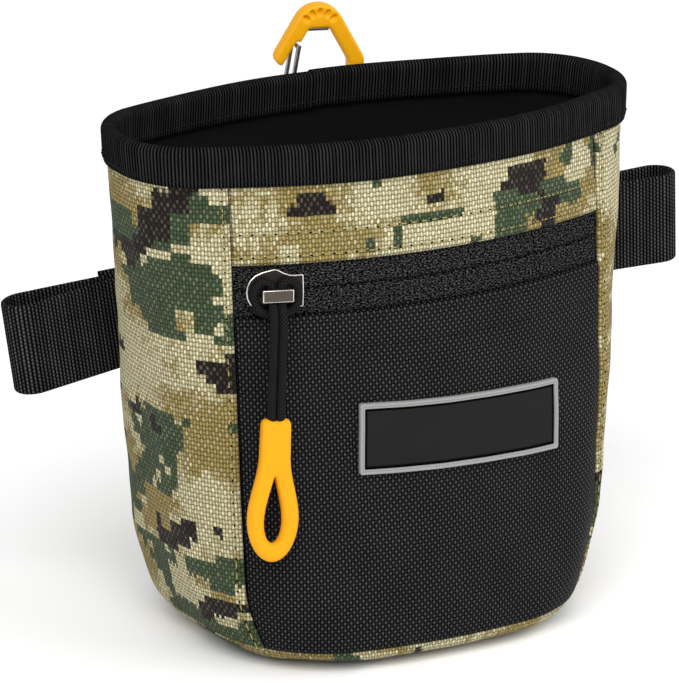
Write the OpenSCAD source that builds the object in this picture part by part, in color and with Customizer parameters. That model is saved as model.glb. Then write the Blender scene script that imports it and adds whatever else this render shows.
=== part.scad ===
// Belt treat pouch: a soft open bag of sewn panels with a bound rim, a zipped
// front pocket, webbing belt loops at the sides and a hook on a hanger behind.
// +X is the wearer's left, -Y is the zipped front, +Z is up, and z = 0 is the base.

/* [Bag] */
// Height from the base to the top of the rim
pouch_h = 140; // [120:1:165]
// Width of the mouth, side to side
rim_w = 150; // [140:1:160]
// Width of the walls near the base, before the sides round in
base_w = 118; // [112:1:126]
// Reach of the mouth in front of the origin
rim_front = 27.5; // [24:0.5:32]
// Reach of the mouth behind the origin
rim_back = 37; // [33:0.5:41]
// Reach of the base in front of the origin
base_front = 44; // [40:0.5:47]
// Reach of the base behind the origin
base_back = 44; // [41:0.5:47]
// Curve radius of the front wall at the mouth
front_r = 147.5; // [135:0.5:165]
// Curve radius of the back wall
back_r = 190; // [165:1:260]
// Corner radius of the wall at the mouth
corner_r_rim = 21; // [16:0.5:22]
// Corner radius of the wall at the base
corner_r_base = 33; // [26:0.5:36]
// Height over which the sides round in to the base
side_round_h = 30; // [22:1:40]
// How far the sides round in at the base
side_round_in = 11; // [6:0.5:14]
// Radius of the edge round the base
base_edge_r = 8; // [6:0.5:10]

/* [Cloth] */
// Thickness of the outer cloth
shell_t = 1; // [0.6:0.1:1.4]
// Thickness of the lining
lining_t = 0.6; // [0.4:0.1:0.9]
// Gap between layers that lie on each other
layer_gap = 0.3; // [0.2:0.05:0.5]
// Gap between panels along a seam
seam_gap = 0.3; // [0.2:0.05:0.6]
// Height of the seam round the base
base_seam_h = 5.5; // [4:0.5:7.5]
// Half width of the front panels, along the cloth
front_half = 57; // [52:0.5:60]
// How far the pocket panel's lower corners draw in
front_corner_in = 8; // [4:0.5:10]
// Height over which those corners draw in
front_corner_h = 25; // [15:1:35]
// Half width of the back panel, along the cloth
back_half = 48; // [40:0.5:52]
// Height of the binding on the rim
binding_h = 10; // [8:0.5:13]
// Thickness of the binding tape
binding_t = 0.9; // [0.7:0.1:1.2]
// Depth of the front pocket behind the zip
pocket_depth = 5; // [4.8:0.1:6.5]

/* [Zip] */
// Drop of the middle of the zip below the rim
zip_drop = 36.7; // [34:0.1:42]
// Height of the zip band that shows between the panels
zip_band = 12.4; // [12:0.2:15]
// Width of one zip tape
tape_w = 9; // [8:0.5:11]
// Thickness of the zip tape
tape_t = 0.6; // [0.4:0.1:0.8]
// Gap between the two tapes
tape_slit = 1.6; // [1.6:0.1:2]
// Radius of one coil bead
coil_r = 0.9; // [0.7:0.05:1]
// Half angle of the zip about the front wall's axis
zip_half_angle = 22; // [20:0.5:22]
// Angle of the slider when the zip is closed
slider_angle = -17.4; // [-18:0.1:-14]
// Length of the slider plates
slider_len = 15.4; // [13:0.2:16]
// Height of the slider plates
slider_h = 10; // [9:0.2:10.8]
// Thickness of the slider plates
slider_t = 1.4; // [1:0.1:1.4]
// Thickness of the slider's middle post
post_t = 1; // [0.8:0.1:1]
// Height of the bridge bar
bridge_h = 4; // [3:0.2:4.4]
// Thickness of the bridge bar and of its legs
bridge_t = 1.2; // [1:0.1:1.4]

/* [Pull] */
// Diameter of the pull cord
cord_d = 2.5; // [2:0.1:2.6]
// Distance from the slider down to the top of the pull tab
tab_drop = 32; // [27:0.2:36]
// Length of the pull tab
tab_len = 37.6; // [34:0.2:44]
// Width of the pull tab at its top
tab_top_w = 7.8; // [7:0.2:9]
// Greatest width of the pull tab
tab_w = 13.9; // [12:0.1:16]
// Thickness of the pull tab
tab_t = 4; // [3:0.1:4.2]
// Width of the tab's finger hole
tab_hole_w = 4.6; // [4:0.1:5.6]
// Height of the tab's finger hole
tab_hole_h = 18.5; // [14:0.5:21]
// Sideways lean of the hanging pull
pull_tilt = 2; // [0:0.5:4]

/* [Label] */
// Width of the label, along the cloth
label_w = 62.4; // [50:0.2:68]
// Height of the label
label_h = 19.6; // [14:0.1:24]
// Middle of the label along the cloth, to the wearer's left
label_s = 5.3; // [0:0.1:12]
// Middle height of the label
label_z = 61.6; // [50:0.1:66]
// Turn of the label on the cloth
label_tilt = -2.3; // [-4:0.1:4]
// Thickness of the label plate
label_t = 1; // [0.6:0.1:1.2]
// Width of the label's raised border
label_border_w = 1.8; // [1.2:0.1:3]
// Height of the border over the plate
label_border_t = 0.5; // [0.3:0.1:0.6]

/* [Webbing] */
// Width of the webbing
web_w = 25; // [20:1:30]
// Thickness of the webbing
web_t = 1.4; // [1:0.1:1.8]
// Drop of the middle of the webbing below the rim
web_drop = 57.3; // [54:0.1:62]
// Rise of the webbing across the back, from the right loop's root to the left's
web_rise = 6.8; // [0:0.1:8]
// Reach of the wearer's right loop from its stitched root
right_reach = 34.7; // [30:0.1:44]
// Reach of the wearer's left loop from its stitched root
left_reach = 62; // [52:1:68]
// Clear gap inside a belt loop at its outer end
loop_gap = 8.6; // [7:0.2:11]
// Distance of a loop's root from the middle of the back
loop_root = 52; // [49:0.5:54]
// Backward swing of the wearer's right loop as it hangs
right_swing = 10; // [0:1:14]
// Forward swing of the wearer's left loop as it hangs
left_swing = 4.5; // [0:0.5:12]
// Droop of the wearer's right loop towards its outer end
right_droop = 9.5; // [0:0.5:10]

/* [Hook] */
// Place of the hanger along the back
hanger_x = 8; // [0:0.5:12]
// Width of the hanger strap
hanger_w = 15; // [12:0.5:15]
// Drop of the hook's lower bar below the rim
hook_bar_drop = 27.8; // [24:0.1:30]
// Distance of the hook's lower bar behind the mouth
hook_back = 8.8; // [8.6:0.1:10]
// Turn of the hook on its hanger
hook_turn = 16; // [0:0.5:16]
// Diameter of the hook's lower bar
hook_bar_d = 4; // [3:0.1:4]
// Height of the hook from its lower bar to its top
hook_h = 43; // [36:0.5:48]
// Width of the hook over its legs
hook_w = 25; // [25:0.2:28]
// Width of the hook's legs, seen from the front
hook_leg = 4.2; // [4.1:0.1:4.4]
// Thickness of the hook, front to back
hook_t = 5; // [4:0.1:5.2]
// Diameter of the gate wire
gate_d = 1.3; // [1:0.1:1.4]
// Outer radius of the hook's round top
apex_r = 7; // [6:0.1:8]
// Depth of the hook's round top
apex_depth = 6.4; // [5.4:0.1:6.8]
// Slope of the hook's upper legs from upright
leg_lean = 29.5; // [26:0.5:33]
// Diameter of the wear pin under the top
wear_pin_d = 1.2; // [0.8:0.1:1.6]
// Clearance round the hook's pins
pin_gap = 0.35; // [0.3:0.05:0.5]

/* [Hidden] */
$fn = 48;

camo_colour = [0.66, 0.61, 0.42];
black_colour = [0.08, 0.08, 0.09];
metal_colour = [0.42, 0.42, 0.41];
orange_colour = [0.96, 0.62, 0.08];
grey_colour = [0.60, 0.61, 0.62];

// Axis that the front wall and the zip turn about, and the lean of the front wall
axis_y = front_r - rim_front;
front_slope = (base_front - rim_front) / pouch_h;
front_lean = atan(front_slope);
side_round_power = 1.5;
least_flat = 8;

// Layers, as depths inside the outer face of the cloth
lining_depth = shell_t + layer_gap;
tape_depth = shell_t + layer_gap;
coil_depth = tape_depth + tape_t + coil_r;
pocket_back_depth = shell_t + pocket_depth;
inner_depth = lining_depth + lining_t;
panel_top = pouch_h - binding_t - layer_gap;
zip_z = pouch_h - zip_drop;
web_z = pouch_h - web_drop;
hook_bar_z = pouch_h - hook_bar_drop;
zip_low = zip_z - zip_band / 2;
zip_high = zip_z + zip_band / 2;
pocket_top = zip_z + tape_slit / 2 + tape_w;
pocket_floor_up = 6;
pocket_floor = base_seam_h + pocket_floor_up;

function lerp(a, b, t) = a + (b - a) * t;
function clamp01(t) = max(0, min(1, t));
function ease(t) = let (u = clamp01(t)) u * u * (3 - 2 * u);
function arc_deg(length, radius) = length / radius * 180 / PI;
function arc_len(angle, radius) = angle * PI / 180 * radius;
function steps(a, b, n) = [for (i = [0:n]) lerp(a, b, i / n)];

// The wall of the bag, level by level, for a face that lies t inside the cloth
function drop(z) = 1 - z / pouch_h;
function edge_in(z, t) =
    let (r = base_edge_r - t, e = clamp01((base_edge_r - z) / r))
    r * (1 - sqrt(1 - e * e));
function side_in(z) =
    let (q = clamp01((side_round_h - z) / side_round_h), p = side_round_power)
    side_round_in * (1 - pow(1 - pow(q, p), 1 / p));
function half_w(z, t) = lerp(rim_w, base_w, drop(z)) / 2 - side_in(z) - edge_in(z, t);
function front_rad(z, t) = front_r + front_slope * (pouch_h - z) - edge_in(z, t);
function back_y(z, t) = lerp(rim_back, base_back, drop(z)) - edge_in(z, t);
function corner_r(z, t) = min(lerp(corner_r_rim, corner_r_base, drop(z)), half_w(z, t) - least_flat);

// One level as [front radius, corner radius, corner x, front corner y, back corner y,
// back centre y, front half angle, back half angle, half width]
function level(z, t) =
    let (rf = front_rad(z, t), rc = corner_r(z, t), w = half_w(z, t), cx = w - rc)
    let (fy = axis_y - sqrt((rf - rc) ^ 2 - cx ^ 2), cy = back_y(z, t) - back_r)
    let (by = max(cy + sqrt((back_r - rc) ^ 2 - cx ^ 2), fy))
    [rf, rc, cx, fy, by, cy, atan2(cx, axis_y - fy), atan2(cx, by - cy), w];

// Half the girth of a level, from the middle of the front to the middle of the back
function half_girth(v) =
    arc_len(v[6], v[0]) + arc_len(180 - v[6] - v[7], v[1]) + v[4] - v[3] + arc_len(v[7], back_r);

// Point at length a along the cloth from the middle of the front, d inside the face
function level_point(v, a, d) =
    let (front = arc_len(v[6], v[0]), corner = front + arc_len(90 - v[6], v[1]))
    let (side = corner + v[4] - v[3], rear = side + arc_len(90 - v[7], v[1]))
    a < front ? let (g = arc_deg(a, v[0])) [(v[0] - d) * sin(g), axis_y - (v[0] - d) * cos(g)]
    : a < corner ? let (g = v[6] + arc_deg(a - front, v[1]))
        [v[2] + (v[1] - d) * sin(g), v[3] - (v[1] - d) * cos(g)]
    : a < side ? [v[8] - d, v[3] + a - corner]
    : a < rear ? let (g = 90 + arc_deg(a - side, v[1]))
        [v[2] + (v[1] - d) * sin(g), v[4] - (v[1] - d) * cos(g)]
    : let (g = arc_deg(half_girth(v) - a, back_r)) [(back_r - d) * sin(g), v[5] + (back_r - d) * cos(g)];

function wall(z, s, d, t = 0) =
    let (p = level_point(level(z, t), abs(s), d))
    [s < 0 ? -p[0] : p[0], p[1], z];
function girth_at(z) = half_girth(level(z, 0));

// Seams between the panels, as lengths along the cloth
function front_seam(z) = front_half - front_corner_in * clamp01((front_corner_h - z) / front_corner_h) ^ 2;
function back_seam(z) = girth_at(z) - back_half;

// How deep the lining and the pocket's back stand in from the front, fading out at the edges
swell_past = 12;
swell_fade = 10;
swell_rise = 14;
swell_top = pouch_h - binding_h - 2;
function pocket_swell(z, s) =
    ease((front_half + swell_past - abs(s)) / swell_fade) * ease((z - pocket_floor) / swell_rise)
    * ease((swell_top - z) / swell_rise);
function lining_in(z, s) = lining_depth + (pocket_back_depth - shell_t + lining_t) * pocket_swell(z, s);

// Closed sheet between an outer and an inner grid of points, rows upwards, columns left to right
module sheet(outer, inner) {
    nr = len(outer);
    nc = len(outer[0]);
    n = nr * nc;
    points = concat([for (r = outer) each r], [for (r = inner) each r]);
    function at(i, j) = i * nc + j;
    function quad(a, b, c, d) = [[a, b, c], [a, c, d]];
    front = [for (i = [0:nr - 2], j = [0:nc - 2])
        each quad(at(i, j), at(i + 1, j), at(i + 1, j + 1), at(i, j + 1))];
    back = [for (f = front) [f[2] + n, f[1] + n, f[0] + n]];
    low = [for (j = [0:nc - 2]) each quad(at(0, j), at(0, j + 1), at(0, j + 1) + n, at(0, j) + n)];
    high = [for (j = [0:nc - 2])
        each quad(at(nr - 1, j + 1), at(nr - 1, j), at(nr - 1, j) + n, at(nr - 1, j + 1) + n)];
    left = [for (i = [0:nr - 2]) each quad(at(i + 1, 0), at(i, 0), at(i, 0) + n, at(i + 1, 0) + n)];
    right = [for (i = [0:nr - 2])
        each quad(at(i, nc - 1), at(i + 1, nc - 1), at(i + 1, nc - 1) + n, at(i, nc - 1) + n)];
    polyhedron(points, concat(front, back, low, high, left, right), convexity = 6);
}

// Closed bowl between outer and inner rings, given from the top down, with flat floors
module bowl(outer, inner) {
    nr = len(outer);
    nc = len(outer[0]);
    n = nr * nc;
    out_mid = 2 * n;
    in_mid = 2 * n + 1;
    function middle(ring) = let (c = ring[0] + ring[floor(nc / 2)]) [0, c[1] / 2, ring[0][2]];
    points = concat([for (r = outer) each r], [for (r = inner) each r],
        [middle(outer[nr - 1])], [middle(inner[nr - 1])]);
    function at(i, j) = i * nc + j % nc;
    walls = [for (i = [0:nr - 2], j = [0:nc - 1])
        each [[at(i, j), at(i, j + 1), at(i + 1, j + 1)], [at(i, j), at(i + 1, j + 1), at(i + 1, j)]]];
    inside = [for (f = walls) [f[2] + n, f[1] + n, f[0] + n]];
    mouth = [for (j = [0:nc - 1])
        each [[at(0, j), at(0, j) + n, at(0, j + 1) + n], [at(0, j), at(0, j + 1) + n, at(0, j + 1)]]];
    floor_out = [for (j = [0:nc - 1]) [at(nr - 1, j), at(nr - 1, j + 1), out_mid]];
    floor_in = [for (j = [0:nc - 1]) [at(nr - 1, j + 1) + n, at(nr - 1, j) + n, in_mid]];
    polyhedron(points, concat(walls, inside, mouth, floor_out, floor_in), convexity = 8);
}

// Closed hoop through a list of cross-sections, each a ring of points
module hoop(sections) {
    count = len(sections);
    np = len(sections[0]);
    function at(k, i) = (k % count) * np + i % np;
    faces = [for (k = [0:count - 1], i = [0:np - 1])
        each [[at(k, i), at(k, i + 1), at(k + 1, i + 1)], [at(k, i), at(k + 1, i + 1), at(k + 1, i)]]];
    polyhedron([for (c = sections) each c], faces, convexity = 6);
}

// A ring of wall points at one level, each at its own depth
ring_count = 60;
function lining_ring(z, t, extra) =
    [for (k = [0:ring_count - 1])
        let (s = lerp(-1, 1, k / ring_count) * girth_at(z)) wall(z, s, lining_in(z, s) + extra, t)];
function plain_ring(z, t) =
    let (v = level(z, t), g = half_girth(v))
    [for (k = [0:ring_count - 1]) wall(z, lerp(-1, 1, k / ring_count) * g, t, t)];

// A panel of the outer cloth between two seams
module panel(levels, from, to, columns, depth, thick) {
    rows = [for (i = [0:len(levels) - 1]) steps(from[i], to[i], columns)];
    sheet([for (i = [0:len(levels) - 1]) [for (s = rows[i]) wall(levels[i], s, depth)]],
        [for (i = [0:len(levels) - 1]) [for (s = rows[i]) wall(levels[i], s, depth + thick)]]);
}

// Levels of the wall panels, close together where the sides round in
low_top = zip_low - 7;
tall_low = zip_low + 5;
low_levels = concat([base_seam_h + seam_gap], steps(base_edge_r, side_round_h, 5),
    steps(side_round_h + base_edge_r, low_top, 4));
tall_levels = concat(low_levels, steps(tall_low, panel_top, 3));

module front_upper_panel() {
    levels = steps(zip_high, panel_top, 4);
    half = [for (z = levels) front_seam(z) - seam_gap / 2];
    color(camo_colour) panel(levels, -half, half, 16, 0, shell_t);
}

module front_pocket_panel() {
    levels = concat(low_levels, [zip_low]);
    half = [for (z = levels) front_seam(z) - seam_gap / 2];
    color(black_colour) panel(levels, -half, half, 16, 0, shell_t);
}

module side_panel(side) {
    near = [for (z = tall_levels) front_seam(z) + seam_gap / 2];
    far = [for (z = tall_levels) back_seam(z) - seam_gap / 2];
    from = side > 0 ? near : -far;
    to = side > 0 ? far : -near;
    color(camo_colour) panel(tall_levels, from, to, 16, 0, shell_t);
}

module left_side_panel() {
    side_panel(-1);
}

module right_side_panel() {
    side_panel(1);
}

module back_panel() {
    edge = [for (z = tall_levels) back_seam(z) + seam_gap / 2];
    rest = [for (z = tall_levels) 2 * girth_at(z) - back_seam(z) - seam_gap / 2];
    columns = 12;
    function fold(z, s) = let (g = girth_at(z)) s > g ? s - 2 * g : s;
    rows = [for (i = [0:len(tall_levels) - 1]) steps(edge[i], rest[i], columns)];
    function face(d) = [for (i = [0:len(tall_levels) - 1])
        [for (s = rows[i]) wall(tall_levels[i], fold(tall_levels[i], s), d)]];
    color(camo_colour) sheet(face(0), face(shell_t));
}

module bottom_panel() {
    outer_levels = steps(base_seam_h, 0, 5);
    inner_levels = steps(base_seam_h, shell_t, 5);
    color(camo_colour)
        bowl([for (z = outer_levels) plain_ring(z, 0)], [for (z = inner_levels) plain_ring(z, shell_t)]);
}

// Levels of the lining's wall, from the top down
lining_levels = concat(steps(panel_top, side_round_h, 9), steps(side_round_h - base_edge_r, base_edge_r, 3));

module pocket_back() {
    bottom = pocket_floor + swell_rise / 4;
    levels = concat([bottom], [for (i = [len(lining_levels) - 1:-1:0])
        let (z = lining_levels[i]) if (z > bottom + 1 && z < pocket_top - 1) z], [pocket_top]);
    edge_margin = 8;
    half = front_half - edge_margin;
    columns = steps(-half, half, 16);
    function depth(z, s) = lining_in(z, s) - layer_gap;
    color(black_colour)
        sheet([for (z = levels) [for (s = columns) wall(z, s, depth(z, s) - lining_t)]],
            [for (z = levels) [for (s = columns) wall(z, s, depth(z, s))]]);
}

module lining() {
    floor_levels = steps(base_seam_h, lining_depth, 3);
    inner_floor = steps(base_seam_h, inner_depth, 3);
    color(black_colour)
        bowl(concat([for (z = lining_levels) lining_ring(z, 0, 0)],
                [for (z = floor_levels) plain_ring(z, lining_depth)]),
            concat([for (z = lining_levels) lining_ring(z, 0, lining_t)],
                [for (z = inner_floor) plain_ring(z, inner_depth)]));
}

module rim_binding() {
    bottom = pouch_h - binding_h;
    out_far = -layer_gap - binding_t;
    in_near = inner_depth + layer_gap;
    in_far = in_near + binding_t;
    under = panel_top + layer_gap;
    soft = binding_t;
    profile = [[out_far, bottom], [out_far, pouch_h - soft], [out_far + soft, pouch_h],
        [in_far - soft, pouch_h], [in_far, pouch_h - soft], [in_far, bottom],
        [in_near, bottom], [in_near, under], [-layer_gap, under], [-layer_gap, bottom]];
    count = 64;
    function station(k, z) = lerp(-1, 1, k / count) * girth_at(z);
    color(black_colour)
        hoop([for (k = [0:count - 1]) [for (q = profile) wall(q[1], station(k, q[1]), q[0])]]);
}

// Things that lie along the zip turn about the front wall's axis
module about_axis(half_angle) {
    translate([0, axis_y, 0])
        rotate([0, 0, -90 - half_angle])
            rotate_extrude(angle = 2 * half_angle, $fn = 180)
                children();
}

module zip_tape(low, high) {
    function r(z, d) = front_rad(z, 0) - d;
    near = tape_depth;
    far = tape_depth + tape_t;
    about_axis(zip_half_angle)
        polygon([[r(low, far), low], [r(low, near), low], [r(high, near), high], [r(high, far), high]]);
}

// The slit between the tapes stands square to the leaning wall
slit_z = zip_z - (tape_depth + tape_t / 2) * sin(front_lean);

module zip_tape_upper() {
    color(black_colour) zip_tape(slit_z + tape_slit / 2, slit_z + tape_slit / 2 + tape_w);
}

module zip_tape_lower() {
    color(black_colour) zip_tape(slit_z - tape_slit / 2 - tape_w, slit_z - tape_slit / 2);
}

module zip_coil(side) {
    up = side * (tape_slit / 2 + coil_r);
    deep = coil_depth + layer_gap / 2;
    about_axis(zip_half_angle)
        translate([front_rad(zip_z, 0), zip_z])
            rotate(front_lean)
                translate([-deep, up])
                    circle(coil_r, $fn = 24);
}

module zip_coil_upper() {
    color(black_colour) zip_coil(1);
}

module zip_coil_lower() {
    color(black_colour) zip_coil(-1);
}

// Slider frame: x along the zip, -y out of the bag, z up the front wall
slider_r = front_rad(zip_z, 0);
plate_in = tape_depth - layer_gap;
plate_out = plate_in - slider_t;
back_plate_in = coil_depth + coil_r + 2 * layer_gap;
cord_touch = 0.2;
strand_x = (cord_d + cord_touch) / 2;
leg_in = strand_x + cord_d / 2 + layer_gap;
bridge_gap = cord_d + 2 * layer_gap;
bridge_in = plate_out - bridge_gap;
bridge_out = bridge_in - bridge_t;
hitch_r = leg_in + bridge_t + cord_d / 2 + cord_touch;
hitch_y = plate_out - bridge_gap / 2;
strand_y = hitch_y - cord_d - cord_touch;
turn_z = -bridge_h / 2 - cord_d / 4;
ring_low_z = -hitch_r - 2 * cord_touch;
stub_end_z = ring_low_z - cord_d / 2;
pull_axis_z = stub_end_z - layer_gap - cord_d / 2;

module at_slider() {
    translate([0, axis_y, 0])
        rotate([0, 0, slider_angle])
            translate([0, -slider_r, zip_z])
                rotate([-front_lean, 0, 0])
                    children();
}

// A flat outline in the slider's x-z plane, from depth y0 to y1
module plate(y0, y1) {
    translate([0, max(y0, y1), 0])
        rotate([90, 0, 0])
            linear_extrude(abs(y1 - y0))
                children();
}

// Rounded nose to the left, a low peak in the middle and a square tail
module slider_outline() {
    tail_h = slider_h * 0.42;
    nose_r = slider_h * 0.55;
    nose_x = -slider_len / 2 + nose_r;
    peak_h = min(slider_h * 0.59, zip_band / 2 - layer_gap);
    for (side = [0, 1])
        mirror([0, side])
            union() {
                intersection() {
                    translate([nose_x, 0])
                        circle(nose_r);
                    translate([-slider_len / 2, 0])
                        square([nose_r + 2, slider_h]);
                }
                polygon([[nose_x, 0], [nose_x, nose_r], [0, peak_h], [slider_len / 4, tail_h],
                    [slider_len / 2, tail_h], [slider_len / 2, 0]]);
            }
}

module slider_body() {
    post_x = -slider_len / 2 + 2;
    post_len = slider_len * 0.2;
    color(metal_colour)
        at_slider()
            union() {
                plate(plate_in, plate_out)
                    slider_outline();
                plate(back_plate_in, back_plate_in + slider_t * 0.7)
                    slider_outline();
                translate([post_x, plate_in - 0.1, -post_t / 2])
                    cube([post_len, back_plate_in - plate_in + 0.2, post_t]);
            }
}

module slider_bridge() {
    half = leg_in + bridge_t;
    leg_h = bridge_h / 2;
    color(metal_colour)
        at_slider()
            union() {
                translate([-half, bridge_out, -bridge_h / 2])
                    cube([2 * half, bridge_t, bridge_h]);
                for (x = [-half, leg_in])
                    translate([x, bridge_out, -leg_h / 2])
                        cube([bridge_t, plate_out - bridge_out, leg_h]);
            }
}

// A straight round bar between two points
module rod(a, b, d) {
    v = b - a;
    translate(a)
        rotate([0, acos(v[2] / norm(v)), atan2(v[1], v[0])])
            cylinder(h = norm(v), d = d, $fn = 24);
}

// The fixed turn of cord under the bridge and round its legs
module cord_hitch() {
    color(black_colour)
        at_slider()
            union() {
                translate([0, hitch_y, 0])
                    rotate([90, 0, 0])
                        rotate_extrude($fn = 64)
                            translate([hitch_r, 0])
                                circle(d = cord_d, $fn = 24);
                for (x = [-strand_x, strand_x]) {
                    rod([x, hitch_y, hitch_r], [x, hitch_y, turn_z], cord_d);
                    translate([x, hitch_y, turn_z])
                        sphere(d = cord_d, $fn = 24);
                    rod([x, hitch_y, turn_z], [x, strand_y, ring_low_z], cord_d);
                    translate([x, strand_y, ring_low_z])
                        sphere(d = cord_d, $fn = 24);
                    rod([x, strand_y, ring_low_z], [x, strand_y, stub_end_z], cord_d);
                }
            }
}

// The pull swings on a line across the cord, just under the hitch
module at_pull() {
    at_slider()
        translate([0, strand_y, pull_axis_z])
            rotate([0, pull_tilt, 0])
                children();
}

tab_top = -tab_drop - pull_axis_z;

module pull_cord() {
    color(black_colour)
        at_pull()
            for (x = [-strand_x, strand_x]) {
                translate([x, 0, 0])
                    sphere(d = cord_d, $fn = 24);
                rod([x, 0, 0], [x, 0, tab_top], cord_d);
            }
}

// Teardrop of a big round end and a smaller round top, joined by tangent sides
module teardrop(r_low, r_top, reach) {
    g = asin((r_low - r_top) / reach);
    circle(r_low);
    translate([0, reach])
        circle(r_top);
    polygon([[-r_low * cos(g), r_low * sin(g)], [r_low * cos(g), r_low * sin(g)],
        [r_top * cos(g), reach + r_top * sin(g)], [-r_top * cos(g), reach + r_top * sin(g)]]);
}

module pull_tab() {
    low_r = tab_w / 2;
    hole_r = tab_hole_w / 2;
    rim = hole_r + 0.2;
    hole_low = low_r - rim;
    neck_r = tab_top_w / 2;
    hole_top_r = 0.5;
    color(orange_colour)
        at_pull()
            translate([0, 0, tab_top - tab_len + low_r])
                plate(-tab_t / 2, tab_t / 2)
                    difference() {
                        union() {
                            teardrop(low_r, neck_r, tab_len - low_r - neck_r);
                            translate([-neck_r, tab_len - low_r - neck_r])
                                square([tab_top_w, neck_r]);
                        }
                        translate([0, -hole_low + hole_r])
                            teardrop(hole_r, hole_top_r, tab_hole_h - hole_r - hole_top_r);
                    }
}

label_in = -layer_gap / 3;
label_face = label_in - label_t;
label_us = steps(-label_w / 2, label_w / 2, 14);
label_vs = steps(-label_h / 2, label_h / 2, 3);

// Point of the turned label, u along it and v up it, at depth d
function label_point(u, v, d) =
    let (c = cos(label_tilt), n = sin(label_tilt))
    wall(label_z + u * n + v * c, label_s + u * c - v * n, d);

module label_plate() {
    function face(d) = [for (v = label_vs) [for (u = label_us) label_point(u, v, d)]];
    color(black_colour) sheet(face(label_face), face(label_in));
}

module label_border() {
    half_w = label_w / 2;
    half_h = label_h / 2;
    top = label_face - label_border_t;
    function limit(a, most) = max(-most, min(most, a));
    function inward(p) = [limit(p[0], half_w - label_border_w), limit(p[1], half_h - label_border_w)];
    function corner(p, d) = label_point(p[0], p[1], d);
    path = concat([for (u = label_us) [u, -half_h]], [for (v = [label_vs[1], label_vs[2]]) [half_w, v]],
        [for (u = label_us) [-u, half_h]], [for (v = [label_vs[2], label_vs[1]]) [-half_w, v]]);
    color(grey_colour)
        hoop([for (p = path) [corner(p, label_face), corner(p, top), corner(inward(p), top),
            corner(inward(p), label_face)]]);
}

web_low = web_z - web_w / 2;
web_out = layer_gap + web_t;
root_gap = 0.4;
root_r = web_t + root_gap;
droop_shift = web_w / 2 * sin(right_droop);
function web_lift(b) = -web_rise / 2 * b / loop_root;

module back_webbing() {
    levels = steps(web_low, web_low + web_w, 3);
    half = loop_root - root_r - seam_gap;
    columns = steps(-half, half - droop_shift, 14);
    function spot(v, b, d) =
        let (z = v + web_lift(b), s = girth_at(z) - abs(b)) wall(z, b < 0 ? s : -s, d);
    color(black_colour)
        sheet([for (z = levels) [for (b = columns) spot(z, b, -web_out)]],
            [for (z = levels) [for (b = columns) spot(z, b, -layer_gap)]]);
}

// Root of a belt loop: the stitched end on the back corner, clear of the cloth
function loop_pivot(side) =
    let (z = web_low + web_lift(-side * loop_root), extra = side < 0 ? droop_shift / 2 : 0)
    let (p = wall(z, girth_at(z) - loop_root, -root_r - 2 * layer_gap - extra))
    [side * p[0], p[1], z + web_w / 2];

// A folded strap seen from above: two layers from the root to a round fold
module loop_outline(length) {
    reach = length - loop_gap / 2 - web_t;
    lean = asin((loop_gap / 2 - root_gap) / reach);
    function bend(r, x, from, to) = [for (a = steps(from, to, 12)) [x + r * cos(a), r * sin(a)]];
    function outline(grow) = concat(bend(loop_gap / 2 + grow, reach, -90 - lean, 90 + lean),
        bend(root_gap + grow, 0, 90 + lean, 270 - lean));
    difference() {
        polygon(outline(web_t));
        polygon(outline(0));
    }
}

module belt_loop(side, length, swing, droop) {
    color(black_colour)
        translate(loop_pivot(side))
            mirror([side > 0 ? 0 : 1, 0, 0])
                rotate([0, droop, -swing])
                    linear_extrude(web_w, center = true)
                        loop_outline(length);
}

module left_webbing_loop() {
    belt_loop(-1, right_reach, -right_swing, right_droop);
}

module right_webbing_loop() {
    belt_loop(1, left_reach, left_swing, 0);
}

// Hook frame: x across the hook, z up from the lower bar's middle
hook_y = rim_back + hook_back;
strap_in = hook_bar_d / 2 + pin_gap;
strap_out = strap_in + web_t;
strap_low = web_low + web_w + 2;

module at_hook() {
    translate([hanger_x, hook_y, hook_bar_z])
        rotate([0, 0, -hook_turn])
            children();
}

// A round bar along the hook's lower bar
module bar_round(r, length) {
    at_hook()
        rotate([0, 90, 0])
            cylinder(h = length, r = r, center = true);
}

// Webbing sewn to the back and folded round the hook's lower bar
module hanger_loop() {
    wall_y = max(back_y(strap_low, 0), back_y(hook_bar_z, 0)) + layer_gap;
    tail = [hanger_w, 2 * web_t, (hook_bar_z - strap_low) / 2];
    color(black_colour)
        difference() {
            hull() {
                bar_round(strap_out, hanger_w);
                translate([hanger_x - hanger_w / 2, wall_y, strap_low])
                    cube(tail);
            }
            bar_round(strap_in, 2 * hanger_w);
        }
}

leg_x = (hook_w - hook_leg) / 2;
leg_start = (apex_r - hook_leg / 2) * [cos(leg_lean), sin(leg_lean)] + [0, hook_h - apex_r];
knee_z = leg_start[1] - (leg_x - leg_start[0]) / tan(leg_lean);
nose_in = 0.6;
nose_end = [-leg_x + nose_in, knee_z + nose_in / tan(leg_lean)];
nose_step = 8;
gate_pivot = [-leg_x, hook_bar_d * 0.9];
gate_top = [nose_end[0] + hook_leg / 2 + pin_gap + gate_d, nose_end[1] + nose_step * 0.4] - gate_pivot;
bore_d = gate_d + 2 * pin_gap;

// Points round part of a circle
function arc(middle, r, from, to, count) =
    [for (a = steps(from, to, count)) middle + r * [cos(a), sin(a)]];

// A round top with straight legs on its tangents, open below
module hook_outline() {
    top = [0, hook_h - apex_r];
    roof = apex_r - apex_depth;
    half = hook_leg / 2;
    roof_x = (apex_r - hook_leg) / cos(leg_lean) - roof * tan(leg_lean);
    polygon(concat(arc(top, apex_r, 180 - leg_lean, leg_lean, 20),
        arc([leg_x, knee_z], half, leg_lean, 0, 5),
        arc([leg_x, 0], half, 0, -180, 12),
        [[leg_x - half, knee_z - half * tan(leg_lean / 2)]],
        [top + [roof_x, roof], top + [-roof_x, roof]],
        arc(nose_end, half, -leg_lean, -180 - leg_lean, 12)));
}

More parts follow.
